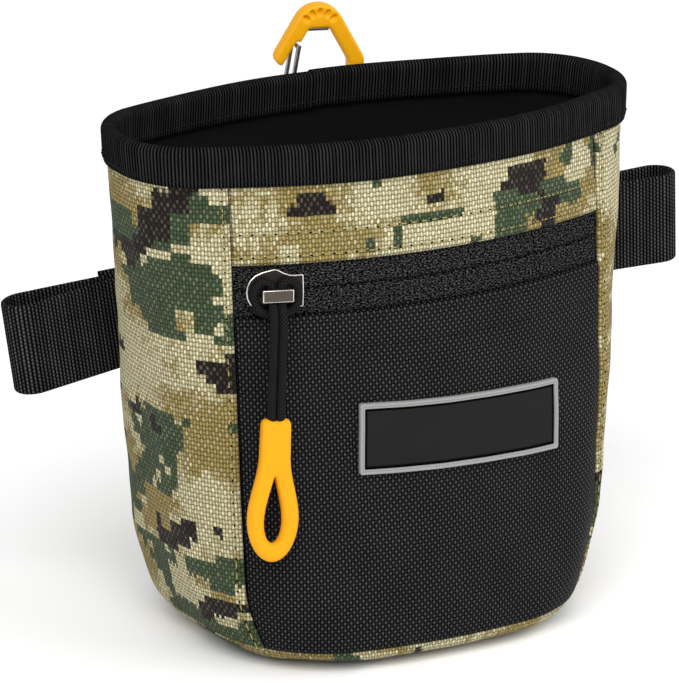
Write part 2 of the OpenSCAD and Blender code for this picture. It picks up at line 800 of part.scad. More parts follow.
// The lug that carries the gate's pivot
module gate_lug() {
    half = hook_leg / 2;
    polygon(concat(arc(gate_pivot, half, 0, 180, 12), arc([-leg_x, 0], half, 180, 360, 12)));
}

// Five grip grooves fanned round the top of the hook
module grip_grooves() {
    groove = [1, 1, 1.7];
    fan = 24;
    margin = 1.1;
    for (k = [-2:2])
        translate([0, -hook_t / 2, hook_h - apex_r])
            rotate([0, k * fan, 0])
                translate([0, 0, apex_r - margin - groove[2] / 2])
                    cube(groove, center = true);
}

// The step on the inner side of the nose that the gate closes against
module nose_notch() {
    cut_in = hook_leg * 0.3;
    translate([nose_end[0], 0, nose_end[1]])
        rotate([0, leg_lean, 0])
            translate([hook_leg / 2 - cut_in, -hook_t, -hook_leg])
                cube([hook_leg, 2 * hook_t, nose_step + hook_leg / 2]);
}

module hook_body() {
    color(orange_colour)
        at_hook()
            difference() {
                union() {
                    plate(-hook_t / 2, hook_t / 2)
                        hook_outline();
                    plate(-hook_t / 2, hook_t / 2)
                        gate_lug();
                    translate([-leg_x, 0, 0])
                        rotate([0, 90, 0])
                            cylinder(h = 2 * leg_x, d = hook_bar_d);
                }
                grip_grooves();
                nose_notch();
                translate([gate_pivot[0], hook_t, gate_pivot[1]])
                    rotate([90, 0, 0])
                        cylinder(h = 2 * hook_t, d = bore_d);
            }
}

module hook_wear_pin() {
    half = (apex_r - hook_leg) / cos(leg_lean) - (apex_r - apex_depth) * tan(leg_lean);
    color(metal_colour)
        at_hook()
            translate([-half, 0, hook_h - apex_depth - wear_pin_d / 2])
                rotate([0, 90, 0])
                    cylinder(h = 2 * half, d = wear_pin_d, $fn = 24);
}

// Wire gate: two side wires, a pivot through the hook and a cross wire at the nose
module hook_gate() {
    side = hook_t / 2 + pin_gap + gate_d / 2;
    past = gate_d / 2;
    v = [gate_top[0], 0, gate_top[1]];
    low = -past * v / norm(v);
    high = v - low;
    color(metal_colour)
        at_hook()
            translate([gate_pivot[0], 0, gate_pivot[1]])
                union() {
                    for (y = [-side, side])
                        rod([0, y, 0] + low, [0, y, 0] + high, gate_d);
                    rod([0, -side, 0], [0, side, 0], gate_d * 0.9);
                    rod([v[0], -side, v[2]], [v[0], side, v[2]], gate_d * 0.9);
                }
}

front_upper_panel();
front_pocket_panel();
left_side_panel();
right_side_panel();
back_panel();
bottom_panel();
pocket_back();
lining();
rim_binding();
zip_tape_upper();
zip_tape_lower();
zip_coil_upper();
zip_coil_lower();
slider_body();
slider_bridge();
cord_hitch();
pull_cord();
pull_tab();
label_plate();
label_border();
back_webbing();
left_webbing_loop();
right_webbing_loop();
hanger_loop();
hook_body();
hook_wear_pin();
hook_gate();
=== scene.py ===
import math

import bmesh
import bpy
import numpy as np
from mathutils import Matrix, Vector


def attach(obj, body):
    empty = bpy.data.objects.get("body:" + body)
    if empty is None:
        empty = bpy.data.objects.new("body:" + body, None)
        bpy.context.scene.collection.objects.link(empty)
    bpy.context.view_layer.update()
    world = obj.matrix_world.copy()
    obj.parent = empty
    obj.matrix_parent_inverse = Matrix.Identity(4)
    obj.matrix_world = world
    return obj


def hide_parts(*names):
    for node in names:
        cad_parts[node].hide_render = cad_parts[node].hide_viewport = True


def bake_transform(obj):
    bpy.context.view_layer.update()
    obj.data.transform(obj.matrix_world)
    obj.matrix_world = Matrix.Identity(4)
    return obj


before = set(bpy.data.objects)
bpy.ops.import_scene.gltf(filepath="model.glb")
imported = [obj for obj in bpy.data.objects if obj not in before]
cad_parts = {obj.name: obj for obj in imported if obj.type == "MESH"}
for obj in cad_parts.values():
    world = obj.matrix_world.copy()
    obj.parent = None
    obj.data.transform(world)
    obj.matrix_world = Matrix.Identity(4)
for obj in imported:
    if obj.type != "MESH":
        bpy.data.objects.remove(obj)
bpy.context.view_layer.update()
mm = 0.001  # lengths below are millimetres, meshes are metres
print("frame:", len(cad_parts), "nodes")


def addObject(name, data):
    obj = bpy.data.objects.new(name, data)
    bpy.context.scene.collection.objects.link(obj)
    return obj


# camera

camera = {
    "lens": 348.5, "sensor": 36, "distance": 1750, "azimuth": -31.27, "elevation": 18.28, "roll": 1.47,
    "target": (-2.74, 11, 70), "shift": (-0.0051, 0.0123), "clip": (50, 50000),
}


def placeCamera():
    azimuth, elevation, roll = (math.radians(camera[key]) for key in ("azimuth", "elevation", "roll"))
    flat = math.cos(elevation)
    back = Vector((math.sin(azimuth) * flat, -math.cos(azimuth) * flat, math.sin(elevation)))
    right = Vector((math.cos(azimuth), math.sin(azimuth), 0))
    up = back.cross(right)
    turnedRight = right * math.cos(roll) + up * math.sin(roll)
    turnedUp = up * math.cos(roll) - right * math.sin(roll)
    data = bpy.data.cameras.new("photoCamera")
    data.lens, data.sensor_width = camera["lens"], camera["sensor"]
    data.shift_x, data.shift_y = camera["shift"]
    data.clip_start, data.clip_end = (distance * mm for distance in camera["clip"])
    obj = addObject("photoCamera", data)
    place = (Vector(camera["target"]) + back * camera["distance"]) * mm
    obj.matrix_world = Matrix.Translation(place) @ Matrix((turnedRight, turnedUp, back)).transposed().to_4x4()
    bpy.context.scene.camera = obj


placeCamera()
print("camera placed")

# the bag's wall, as in the CAD: a point is named by its length along the cloth and its height

bag = {
    "height": 140, "rimWidth": 150, "baseWidth": 118, "rimFront": 27.5, "rimBack": 37, "baseFront": 44,
    "baseBack": 44, "frontRadius": 147.5, "backRadius": 190, "cornerRim": 21, "cornerBase": 33,
    "sideRoundHeight": 30, "sideRoundIn": 11, "sideRoundPower": 1.5, "baseEdge": 8, "leastFlat": 8,
    "clothThick": 1.0, "clothDepth": 1.15, "baseSeam": 5.5, "frontHalf": 57, "frontCornerIn": 8,
    "frontCornerHeight": 25, "backHalf": 48, "panelTop": 138.6, "zipLow": 96.0, "zipHigh": 109.5,
    "frontTuck": 5,
}
axisY = bag["frontRadius"] - bag["rimFront"]
frontSlope = (bag["baseFront"] - bag["rimFront"]) / bag["height"]


def lerp(a, b, t):
    return a + (b - a) * t


def ease(t):
    u = np.clip(t, 0, 1)
    return u * u * (3 - 2 * u)


def rollIn(distance, radius):  # how far a rounded edge falls away near its end
    e = np.clip(1 - distance / radius, 0, 1)
    return radius * (1 - np.sqrt(1 - e * e))


def sideIn(z):
    q = np.clip((bag["sideRoundHeight"] - z) / bag["sideRoundHeight"], 0, 1)
    p = bag["sideRoundPower"]
    return bag["sideRoundIn"] * (1 - (1 - q ** p) ** (1 / p))


def level(z):  # radii, centres and angles of the wall's outline at one height
    down = 1 - z / bag["height"]
    edge = rollIn(z, bag["baseEdge"])
    frontR = bag["frontRadius"] + frontSlope * (bag["height"] - z) - edge
    halfW = lerp(bag["rimWidth"], bag["baseWidth"], down) / 2 - sideIn(z) - edge
    cornerR = np.minimum(lerp(bag["cornerRim"], bag["cornerBase"], down), halfW - bag["leastFlat"])
    cornerX = halfW - cornerR
    frontY = axisY - np.sqrt((frontR - cornerR) ** 2 - cornerX ** 2)
    centreY = lerp(bag["rimBack"], bag["baseBack"], down) - edge - bag["backRadius"]
    backY = np.maximum(centreY + np.sqrt((bag["backRadius"] - cornerR) ** 2 - cornerX ** 2), frontY)
    frontA, backA = np.arctan2(cornerX, axisY - frontY), np.arctan2(cornerX, backY - centreY)
    return frontR, cornerR, cornerX, frontY, backY, centreY, frontA, backA, halfW


def halfGirth(z):
    frontR, cornerR, _, frontY, backY, _, frontA, backA, _ = level(z)
    return frontA * frontR + (math.pi - frontA - backA) * cornerR + backY - frontY + backA * bag["backRadius"]


def wallPoint(s, z, out=0.0):
    s, z, out = np.broadcast_arrays(np.asarray(s, float), np.asarray(z, float), np.asarray(out, float))
    frontR, cornerR, cornerX, frontY, backY, centreY, frontA, backA, halfW = level(z)
    a = np.abs(s)
    front = frontA * frontR
    corner = front + (math.pi / 2 - frontA) * cornerR
    side = corner + backY - frontY
    rear = side + (math.pi / 2 - backA) * cornerR
    onFront, onCorner = a / frontR, frontA + (a - front) / cornerR
    onRear, onBack = math.pi / 2 + (a - side) / cornerR, (halfGirth(z) - a) / bag["backRadius"]
    frontArm, cornerArm, backArm = frontR + out, cornerR + out, bag["backRadius"] + out
    places = [a < front, a < corner, a < side, a < rear]
    x = np.select(places, [frontArm * np.sin(onFront), cornerX + cornerArm * np.sin(onCorner),
                           halfW + out, cornerX + cornerArm * np.sin(onRear)], backArm * np.sin(onBack))
    y = np.select(places, [axisY - frontArm * np.cos(onFront), frontY - cornerArm * np.cos(onCorner),
                           frontY + a - corner, backY - cornerArm * np.cos(onRear)],
                  centreY + backArm * np.cos(onBack))
    return np.stack([np.where(s < 0, -x, x), y, z], -1)


def fromBack(b, z):  # length along the cloth of a place b millimetres round from the middle of the back
    return np.where(b < 0, halfGirth(z) + b, b - halfGirth(z))


def frontSeam(z):
    return bag["frontHalf"] - bag["frontCornerIn"] * np.clip(1 - z / bag["frontCornerHeight"], 0, 1) ** 2


def backSeam(z):
    return halfGirth(z) - bag["backHalf"]


def ripple(s, z):  # slow unevenness of soft cloth, in millimetres
    return (0.5 * np.sin(0.061 * s + 0.034 * z + 1.3) * np.sin(0.052 * z - 0.021 * s + 0.6)
            + 0.28 * np.sin(0.127 * s - 0.083 * z + 2.1) * np.sin(0.109 * z + 0.047 * s + 0.4)
            + 0.12 * np.sin(0.31 * s + 0.19 * z) * np.sin(0.27 * z - 0.16 * s + 1.1))


# meshes


def makeObject(name, points, faces, uvs=None, faceUvs=None):
    mesh = bpy.data.meshes.new(name)
    mesh.from_pydata((np.asarray(points, float) * mm).tolist(), [], faces)
    if uvs is not None:
        corners = np.empty(len(mesh.loops), int)
        mesh.loops.foreach_get("vertex_index", corners)
        faceUvs = np.asarray(uvs, float)[corners]
    if faceUvs is not None:
        mesh.uv_layers.new(name="cloth").data.foreach_set("uv", (faceUvs * mm).ravel())
    mesh.shade_smooth()
    return addObject(name, mesh)


def gridFaces(rows, columns, start=0, wrap=False, flip=False):
    faces = []
    for i in range(rows - 1):
        for j in range(columns if wrap else columns - 1):
            k = (j + 1) % columns
            quad = [start + i * columns + j, start + i * columns + k,
                    start + (i + 1) * columns + k, start + (i + 1) * columns + j]
            faces.append(quad[::-1] if flip else quad)
    return faces


def edgeFaces(ring, offset):  # joins the outline of a face to the same outline on its back
    return [[b, a, a + offset, b + offset] for a, b in zip(ring, ring[1:] + ring[:1])]


def sheetFaces(rows, columns):  # a grid, its back and its edge
    n = rows * columns
    ring = list(range(columns)) + [i * columns + columns - 1 for i in range(1, rows)]
    ring += [(rows - 1) * columns + j for j in range(columns - 2, -1, -1)]
    ring += [i * columns for i in range(rows - 2, 0, -1)]
    return gridFaces(rows, columns) + gridFaces(rows, columns, n, flip=True) + edgeFaces(ring, n)


def bowlFaces(rows, columns, flip=False):  # rings from a rim in to the middle, and the same again on the back
    n, last = rows * columns, (rows - 1) * columns
    rim, middle = list(range(columns)), list(range(last, last + columns))
    if flip:
        rim, middle = rim[::-1], middle[::-1]
    faces = gridFaces(rows, columns, wrap=True, flip=flip)
    faces += gridFaces(rows, columns, n, wrap=True, flip=not flip)
    return faces + edgeFaces(rim, n) + [middle, [n + k for k in reversed(middle)]]


def slab(name, s, z, out, thick, shift=(0, 0), along=None):  # cloth of some thickness on the wall
    back = out - thick
    if thick <= bag["clothThick"]:
        back = np.maximum(back, -bag["clothDepth"])  # stays clear of the lining
    points = np.concatenate([wallPoint(s, z, out).reshape(-1, 3), wallPoint(s, z, back).reshape(-1, 3)])
    uvs = np.stack([(s if along is None else along).ravel() + shift[0], z.ravel() + shift[1]], -1)
    return makeObject(name, points, sheetFaces(*s.shape), np.concatenate([uvs, uvs]))


def runLengths(points):  # length of a path up to each of its points
    return np.concatenate([[0], np.cumsum(np.linalg.norm(np.diff(points, axis=0), axis=1))])


def directions(path):
    tangents = np.gradient(path, axis=0)
    return tangents / np.linalg.norm(tangents, axis=1)[:, None]


def smoothRoute(points, step):  # a rounded curve through the points, with even steps
    p = np.asarray(points, float)
    q = np.concatenate([[2 * p[0] - p[1]], p, [2 * p[-1] - p[-2]]])
    fine = []
    for i in range(1, len(q) - 2):
        for t in np.linspace(0, 1, 24, endpoint=False):
            a, b, c, d = q[i - 1], q[i], q[i + 1], q[i + 2]
            fine.append(0.5 * (2 * b + (c - a) * t + (2 * a - 5 * b + 4 * c - d) * t * t
                               + (3 * b - a - 3 * c + d) * t ** 3))
    fine = np.array(fine + [p[-1]])
    lengths = runLengths(fine)
    marks = np.linspace(0, lengths[-1], max(2, round(lengths[-1] / step) + 1))
    return np.stack([np.interp(marks, lengths, fine[:, k]) for k in range(3)], -1)


def tube(name, route, radius, sides):
    tangents = directions(route)
    normal = np.cross(tangents[0], (0.3, 1, 0.2))  # any way off the route will do
    rings, uvs = [], []
    turn = np.linspace(0, 2 * math.pi, sides, endpoint=False)
    for p, t, length in zip(route, tangents, runLengths(route)):
        normal = normal - t * (normal @ t)
        normal /= np.linalg.norm(normal)
        side = np.cross(t, normal)
        rings.append(p + radius * (np.cos(turn)[:, None] * normal + np.sin(turn)[:, None] * side))
        uvs.append(np.stack([np.full(sides, length), turn * radius], -1))
    faces = gridFaces(len(route), sides, wrap=True, flip=True)
    last = (len(route) - 1) * sides
    faces += [list(range(sides)), [last + k for k in reversed(range(sides))]]
    obj = makeObject(name, np.concatenate(rings), faces, np.concatenate(uvs))
    turnOut(obj)
    return obj


def turnOut(obj):  # every face looks outwards
    bm = bmesh.new()
    bm.from_mesh(obj.data)
    bmesh.ops.recalc_face_normals(bm, faces=bm.faces)
    bm.to_mesh(obj.data)
    bm.free()


def hoop(name, sections, uvs=None):  # closed rings of points, joined round into one closed band
    count, size = len(sections), len(sections[0])
    faces = []
    for k in range(count):
        for i in range(size):
            a, b = k * size, (k + 1) % count * size
            faces.append([a + i, a + (i + 1) % size, b + (i + 1) % size, b + i])
    obj = makeObject(name, np.concatenate(sections), faces, uvs)
    turnOut(obj)
    return obj


def strap(name, path, across, width, thick):  # flat webbing along a path
    path = np.asarray(path, float)
    across = np.broadcast_to(np.asarray(across, float), path.shape)
    normals = np.cross(directions(path), across)
    r = thick * 0.48  # edges a little short of half round
    bend = np.radians(np.linspace(-90, 90, 7))
    flat = np.linspace(-width / 2 + r, width / 2 - r, 12)[1:-1]
    profile = ([(width / 2 - r + r * math.cos(a), thick / 2 * math.sin(a)) for a in bend]
               + [(x, thick / 2) for x in flat[::-1]]
               + [(-width / 2 + r - r * math.cos(a), thick / 2 * math.sin(a)) for a in -bend]
               + [(x, -thick / 2) for x in flat])
    points, uvs = [], []
    for p, n, side, length in zip(path, normals, across, runLengths(path)):
        points += [p + side * a + n * b for a, b in profile]
        uvs += [(length, a) for a, b in profile]
    size = len(profile)
    last = (len(path) - 1) * size
    faces = gridFaces(len(path), size, wrap=True)
    faces += [list(range(size)), [last + k for k in range(size)]]
    obj = makeObject(name, points, faces, uvs)
    turnOut(obj)
    return obj


def nodeCopy(node):  # a CAD node's mesh, with its doubles merged
    bm = bmesh.new()
    bm.from_mesh(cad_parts[node].data)
    bmesh.ops.remove_doubles(bm, verts=bm.verts, dist=0.002 * mm)
    return bm


def sharpEdges(bm, angle):
    return [e for e in bm.edges if e.is_manifold and e.calc_face_angle(0) > math.radians(angle)]


def roundEdges(bm, edges, width):  # the round strips take the piece's second finish
    bmesh.ops.bevel(bm, geom=edges, offset=width, offset_type="OFFSET", segments=3, profile=0.5,
                    affect="EDGES", material=1)


def objectFrom(bm, name, sharp):  # smooth, apart from edges past this angle
    mesh = bpy.data.meshes.new(name)
    bm.to_mesh(mesh)
    bm.free()
    mesh.shade_smooth()
    mesh.set_sharp_from_angle(angle=math.radians(sharp))
    return addObject(name, mesh)


def shownMesh(obj):  # the mesh that its modifiers give
    depsgraph = bpy.context.evaluated_depsgraph_get()
    return bpy.data.meshes.new_from_object(obj.evaluated_get(depsgraph), depsgraph=depsgraph)


def mouldedCopy(node, name, grain, rounds):  # a CAD node as one soft moulding
    mesh = bpy.data.meshes.new(name)
    bm = nodeCopy(node)
    bm.to_mesh(mesh)
    bm.free()
    obj = addObject(name, mesh)
    even = obj.modifiers.new("even", "REMESH")
    even.mode, even.voxel_size = "VOXEL", grain * mm
    obj.modifiers.new("round", "SMOOTH").iterations = rounds
    obj.data = shownMesh(obj)
    obj.modifiers.clear()
    obj.data.shade_smooth()
    return obj


# shading


def fieldMath(operation, flip=False):  # one operator between fields
    def work(self, other=None):
        return self.math(operation, other, flip)
    return work


class Field:  # a socket that takes part in sums
    def __init__(self, tree, socket):
        self.tree, self.socket = tree, socket

    def math(self, operation, other=None, flip=False):
        node = self.tree.nodes.new("ShaderNodeMath")
        node.operation = operation
        pair = (other, self) if flip else (self, other)
        for slot, value in zip(node.inputs, pair):
            if isinstance(value, Field):
                self.tree.links.new(value.socket, slot)
            elif value is not None:
                slot.default_value = value
        return Field(self.tree, node.outputs[0])

    __add__ = __radd__ = fieldMath("ADD")
    __mul__ = __rmul__ = fieldMath("MULTIPLY")
    __sub__, __rsub__ = fieldMath("SUBTRACT"), fieldMath("SUBTRACT", True)
    __truediv__, __rtruediv__ = fieldMath("DIVIDE"), fieldMath("DIVIDE", True)
    __pow__, __mod__, __gt__ = fieldMath("POWER"), fieldMath("FLOORED_MODULO"), fieldMath("GREATER_THAN")
    __abs__, floor = fieldMath("ABSOLUTE"), fieldMath("FLOOR")

    def clamp(self):
        return self.math("MAXIMUM", 0.0).math("MINIMUM", 1.0)

    def wave(self):  # a rounded hump over each unit
        return abs((self * math.pi).math("SINE"))


def rgb(red, green, blue):  # screen colour, 0 to 255, as a linear colour
    def linear(c):
        c /= 255
        return c / 12.92 if c <= 0.04045 else ((c + 0.055) / 1.055) ** 2.4
    return (linear(red), linear(green), linear(blue), 1)


class Finish:  # one material and its nodes
    def __init__(self, name, **constants):
        self.material = bpy.data.materials.new(name)
        self.material.use_nodes = True
        self.tree = self.material.node_tree
        self.shader = self.tree.nodes["Principled BSDF"]
        for key, value in constants.items():
            self.shader.inputs[key.replace("_", " ")].default_value = value

    def add(self, kind, settings=None, inputs=None, out=0):
        node = self.tree.nodes.new(kind)
        for key, value in (settings or {}).items():
            setattr(node, key, value)
        for key, value in (inputs or {}).items():
            if isinstance(value, Field):
                self.tree.links.new(value.socket, node.inputs[key])
            else:
                node.inputs[key].default_value = value
        return Field(self.tree, node.outputs[out])

    def feed(self, **sockets):
        for key, value in sockets.items():
            self.tree.links.new(value.socket, self.shader.inputs[key.replace("_", " ")])

    def clothPlace(self):  # lengths along and up the cloth, in millimetres
        uv = self.add("ShaderNodeUVMap", {"uv_map": "cloth"})
        along = self.add("ShaderNodeSeparateXYZ", None, {0: uv}, 0)
        up = Field(self.tree, along.socket.node.outputs[1])
        return along / mm, up / mm

    def point(self, x, y, z=0.0):
        return self.add("ShaderNodeCombineXYZ", None, {0: x, 1: y, 2: z})

    def chance(self, x, y, z=0.0):  # one even draw for each place
        place = self.point(x, y, z)
        return self.add("ShaderNodeTexWhiteNoise", {"noise_dimensions": "3D"}, {"Vector": place}, "Value")

    def solid(self, scale):  # place in the object, in units of scale millimetres
        place = self.add("ShaderNodeTexCoord", None, None, "Object")
        return self.add("ShaderNodeVectorMath", {"operation": "SCALE"}, {0: place, "Scale": 1 / (scale * mm)})

    def noise(self, vector, detail=2.0, roughness=0.5):
        return self.add("ShaderNodeTexNoise", None, {"Vector": vector, "Scale": 1.0, "Detail": detail,
                                                     "Roughness": roughness}, "Fac")

    def clothNoise(self, along, up, size, detail=2.0, seed=0.0):  # clouds of this size on the cloth
        return self.noise(self.point(along / size, up / size, seed), detail)

    def mix(self, factor, first, second, blend="MIX"):
        return self.add("ShaderNodeMix", {"data_type": "RGBA", "blend_type": blend},
                        {0: factor, 6: first, 7: second}, 2)

    def bump(self, height, distance, strength=1.0):
        return self.add("ShaderNodeBump", None,
                        {"Height": height, "Distance": distance * mm, "Strength": strength})


def plainWeave(along, up, wide, tall):  # over and under, as a height from 0 to 1
    a, b = along / wide, up / tall
    over = (a.floor() + b.floor()) % 2.0
    across, down = a.wave(), b.wave()
    warp = across ** 0.5 * (0.5 + 0.5 * down)
    weft = down ** 0.5 * (0.5 + 0.5 * across)
    return warp * over + weft * (1 - over), over, across, down


camo = {
    "cell": 2.6, "warp": 0.86, "weft": 1.17, "relief": 0.3, "ragged": 0.45,
    "swaySize": 6, "sway": 0.5, "slubSize": 1.5, "slubSeed": 7.0, "slubAlong": 0.45, "slubUp": 0.35,
    "alongSeed": 1.0, "upSeed": 2.0, "fleckSeed": 5.0,
    "sand": rgb(232, 226, 188), "olive": rgb(178, 160, 100), "green": rgb(76, 96, 68),
    "brown": rgb(38, 28, 26), "gap": rgb(112, 104, 78), "glint": rgb(78, 77, 66), "faded": rgb(176, 158, 104),
    "ground": (13.0, 9.0, 3.7, 0.05),  # cells wide, cells tall, seed, raggedness
    "groundFleck": 0.06, "groundLevel": 0.47, "groundSharp": 14,
    "patches": (  # colour, cells wide, cells tall, seed, level
        ("green", 11.0, 7.0, 71.3, 0.562), ("sand", 5.0, 3.4, 29.1, 0.63), ("brown", 9.0, 6.5, 35.7, 0.645)),
    "patchRagged": 0.03, "fleck": 0.24, "fadeSize": 26, "fade": 0.22,
}


def camoFinish():
    paint = Finish("camoCloth", Roughness=0.85, Specular_IOR_Level=0.12, Sheen_Weight=0.04,
                   Sheen_Roughness=0.5)
    flatAlong, flatUp = paint.clothPlace()
    sway = paint.clothNoise(flatAlong, flatUp, camo["swaySize"], 1.0) * camo["sway"]
    slub = paint.clothNoise(flatAlong, flatUp, camo["slubSize"], 1.0, camo["slubSeed"]) - 0.5
    along = flatAlong + sway + slub * camo["slubAlong"]
    up = flatUp - sway + slub * camo["slubUp"]
    height, over, across, down = plainWeave(along, up, camo["warp"], camo["weft"])
    a, b = (along / camo["warp"]).floor(), (up / camo["weft"]).floor()

    def cell(count, pitch, seed):  # the block of colour that a crossing of threads belongs to
        stray = (paint.chance(a, b, seed) - 0.5) * camo["ragged"]
        return ((count * pitch + stray) / camo["cell"]).floor()

    i, j = cell(a, camo["warp"], camo["alongSeed"]), cell(b, camo["weft"], camo["upSeed"])

    def amount(wide, tall, seed, ragged):
        soft = paint.noise(paint.point(i / wide + seed, j / tall, seed))
        return soft + (paint.chance(i, j, seed) - 0.5) * ragged

    fleck = paint.chance(a, b, camo["fleckSeed"])
    ground = amount(*camo["ground"]) + (fleck - 0.5) * camo["groundFleck"] - camo["groundLevel"]
    colour = paint.mix((ground * camo["groundSharp"]).clamp(), camo["sand"], camo["olive"])
    for tone, wide, tall, seed, limit in camo["patches"]:
        colour = paint.mix(amount(wide, tall, seed, camo["patchRagged"]) > limit, colour, camo[tone])
    shade = over * across * (0.5 + 0.5 * down) + (1 - over) * down * (0.35 + 0.3 * across)
    colour = paint.mix(1 - shade, colour, camo["gap"], "MULTIPLY")
    colour = paint.mix(fleck * camo["fleck"], colour, camo["gap"], "MULTIPLY")
    colour = paint.mix(over * height * (1 - fleck), colour, camo["glint"], "SCREEN")
    fade = paint.clothNoise(along, up, camo["fadeSize"])
    colour = paint.mix(fade * camo["fade"], colour, camo["faded"], "MULTIPLY")
    paint.feed(Base_Color=colour, Normal=paint.bump(height, camo["relief"]))
    return paint.material


# the light tone is the painted highlight on the thread crowns; the dark is the cloth's own black
pocketWeave = {"warp": 0.87, "weft": 0.93, "relief": 0.2, "sheenPatchSize": 14, "dark": rgb(0, 0, 0),
               "light": rgb(72, 72, 74)}


def pocketFinish():
    paint = Finish("pocketCloth", Specular_IOR_Level=0.02)
    along, up = paint.clothPlace()
    height, over, across, down = plainWeave(along, up, pocketWeave["warp"], pocketWeave["weft"])
    sheenPatches = paint.clothNoise(along, up, pocketWeave["sheenPatchSize"])
    # painted highlight: the crowns of the threads, the warp most, stronger in soft sheen patches
    shine = over * across ** 2.0 * down ** 0.5 + (1 - over) * down ** 3.0 * (0.08 + 0.2 * across)
    colour = paint.mix(shine * (0.7 + 0.6 * sheenPatches), pocketWeave["dark"], pocketWeave["light"])
    paint.feed(Base_Color=colour, Roughness=0.65 - 0.2 * height,
               Normal=paint.bump(height, pocketWeave["relief"]))
    return paint.material


def plainClothFinish(name, pitch, dark, light, relief, roughness):
    paint = Finish(name, Roughness=roughness, Specular_IOR_Level=0.12)
    along, up = paint.clothPlace()
    height = plainWeave(along, up, pitch, pitch)[0]
    paint.feed(Base_Color=paint.mix(height, dark, light), Normal=paint.bump(height, relief))
    return paint.material


def ribFinish(name, rib, pick, bead, dark, light, relief, roughness, sheenPatchSize=9):  # crossed by fine threads
    paint = Finish(name, Specular_IOR_Level=0.0)
    along, up = paint.clothPlace()
    ribs = (along / rib).wave()
    count = (along / rib).floor()
    threads = (up / pick + count % 2.0 * 0.5).wave()
    height = ribs ** 0.7 * (0.6 + 0.4 * threads)
    sheenPatches = paint.clothNoise(along, up, sheenPatchSize)
    tone = (1 - bead + bead * threads) * (0.5 + 0.8 * sheenPatches) * (0.75 + 0.5 * paint.chance(count, 1.0))
    # painted highlight on the rib crowns over the black cloth, with painted shade left between the ribs; its
    # strength varies with the thread beads, soft sheen patches and a draw for each rib
    colour = paint.mix(ribs ** 3.0 * tone, dark, light)
    paint.feed(Base_Color=colour, Roughness=roughness + 0.15 * (1 - height),
               Normal=paint.bump(height, relief))
    return paint.material


def knitFinish(name, grainSize, row, dark, light, relief):  # fine uneven loops
    paint = Finish(name, Roughness=0.9, Specular_IOR_Level=0.0)
    along, up = paint.clothPlace()
    grain = paint.noise(paint.point(along / grainSize / 1.5, up / grainSize / 0.8), 2.0, 0.6)
    rows = (up / row + (along / row).wave() * 0.5).wave()
    height = ((grain - 0.47) * 4.5).clamp() * (0.5 + 0.5 * rows)
    paint.feed(Base_Color=paint.mix(height, dark, light), Normal=paint.bump(height, relief))
    return paint.material


def metalFinish(name, tone, edgeTone, roughness):
    paint = Finish(name, Metallic=1.0)
    grain = paint.noise(paint.solid(0.5), 3.0, 0.6)
    cloud = paint.noise(paint.solid(4.0))
    paint.feed(Base_Color=paint.mix(cloud * 0.8, tone, edgeTone), Roughness=roughness + 0.2 * grain,
               Normal=paint.bump(grain, 0.03, 0.5))
    return paint.material


def brushedFinish(name, tone, edgeTone, roughness):  # fine scratches along the bar
    paint = Finish(name, Metallic=1.0)
    place = paint.add("ShaderNodeVectorMath", {"operation": "MULTIPLY"},
                      {0: paint.solid(1.0), 1: (0.25, 0.25, 6.0)})
    streaks = paint.noise(place, 3.0, 0.7)
    paint.feed(Base_Color=paint.mix(streaks, tone, edgeTone), Roughness=roughness + 0.25 * streaks,
               Normal=paint.bump(streaks, 0.05, 0.6))
    return paint.material


def rubberFinish(name, tone, shade, roughness, grainSize=0.25, relief=0.02, shine=0.5):
    paint = Finish(name, Specular_IOR_Level=shine)
    grain = paint.noise(paint.solid(grainSize))
    cloud = paint.noise(paint.solid(7.0))
    paint.feed(Base_Color=paint.mix(cloud * 0.5, tone, shade), Roughness=roughness + 0.15 * grain,
               Normal=paint.bump(grain, relief, 0.6))
    return paint.material


def braidFinish(name, pitch, dark, light):
    paint = Finish(name, Roughness=0.7, Specular_IOR_Level=0.03)
    along, around = paint.clothPlace()
    left = ((along + around) / pitch).wave()
    right = ((along - around) / pitch).wave()
    height = left.math("MAXIMUM", right)
    paint.feed(Base_Color=paint.mix(height ** 3.0, dark, light), Normal=paint.bump(height, 0.12))
    return paint.material


def threadFinish(name, tone, shade):
    paint = Finish(name, Roughness=0.75, Specular_IOR_Level=0.12)
    twist = paint.noise(paint.solid(0.3))
    paint.feed(Base_Color=paint.mix(twist, shade, tone), Normal=paint.bump(twist, 0.05))
    return paint.material


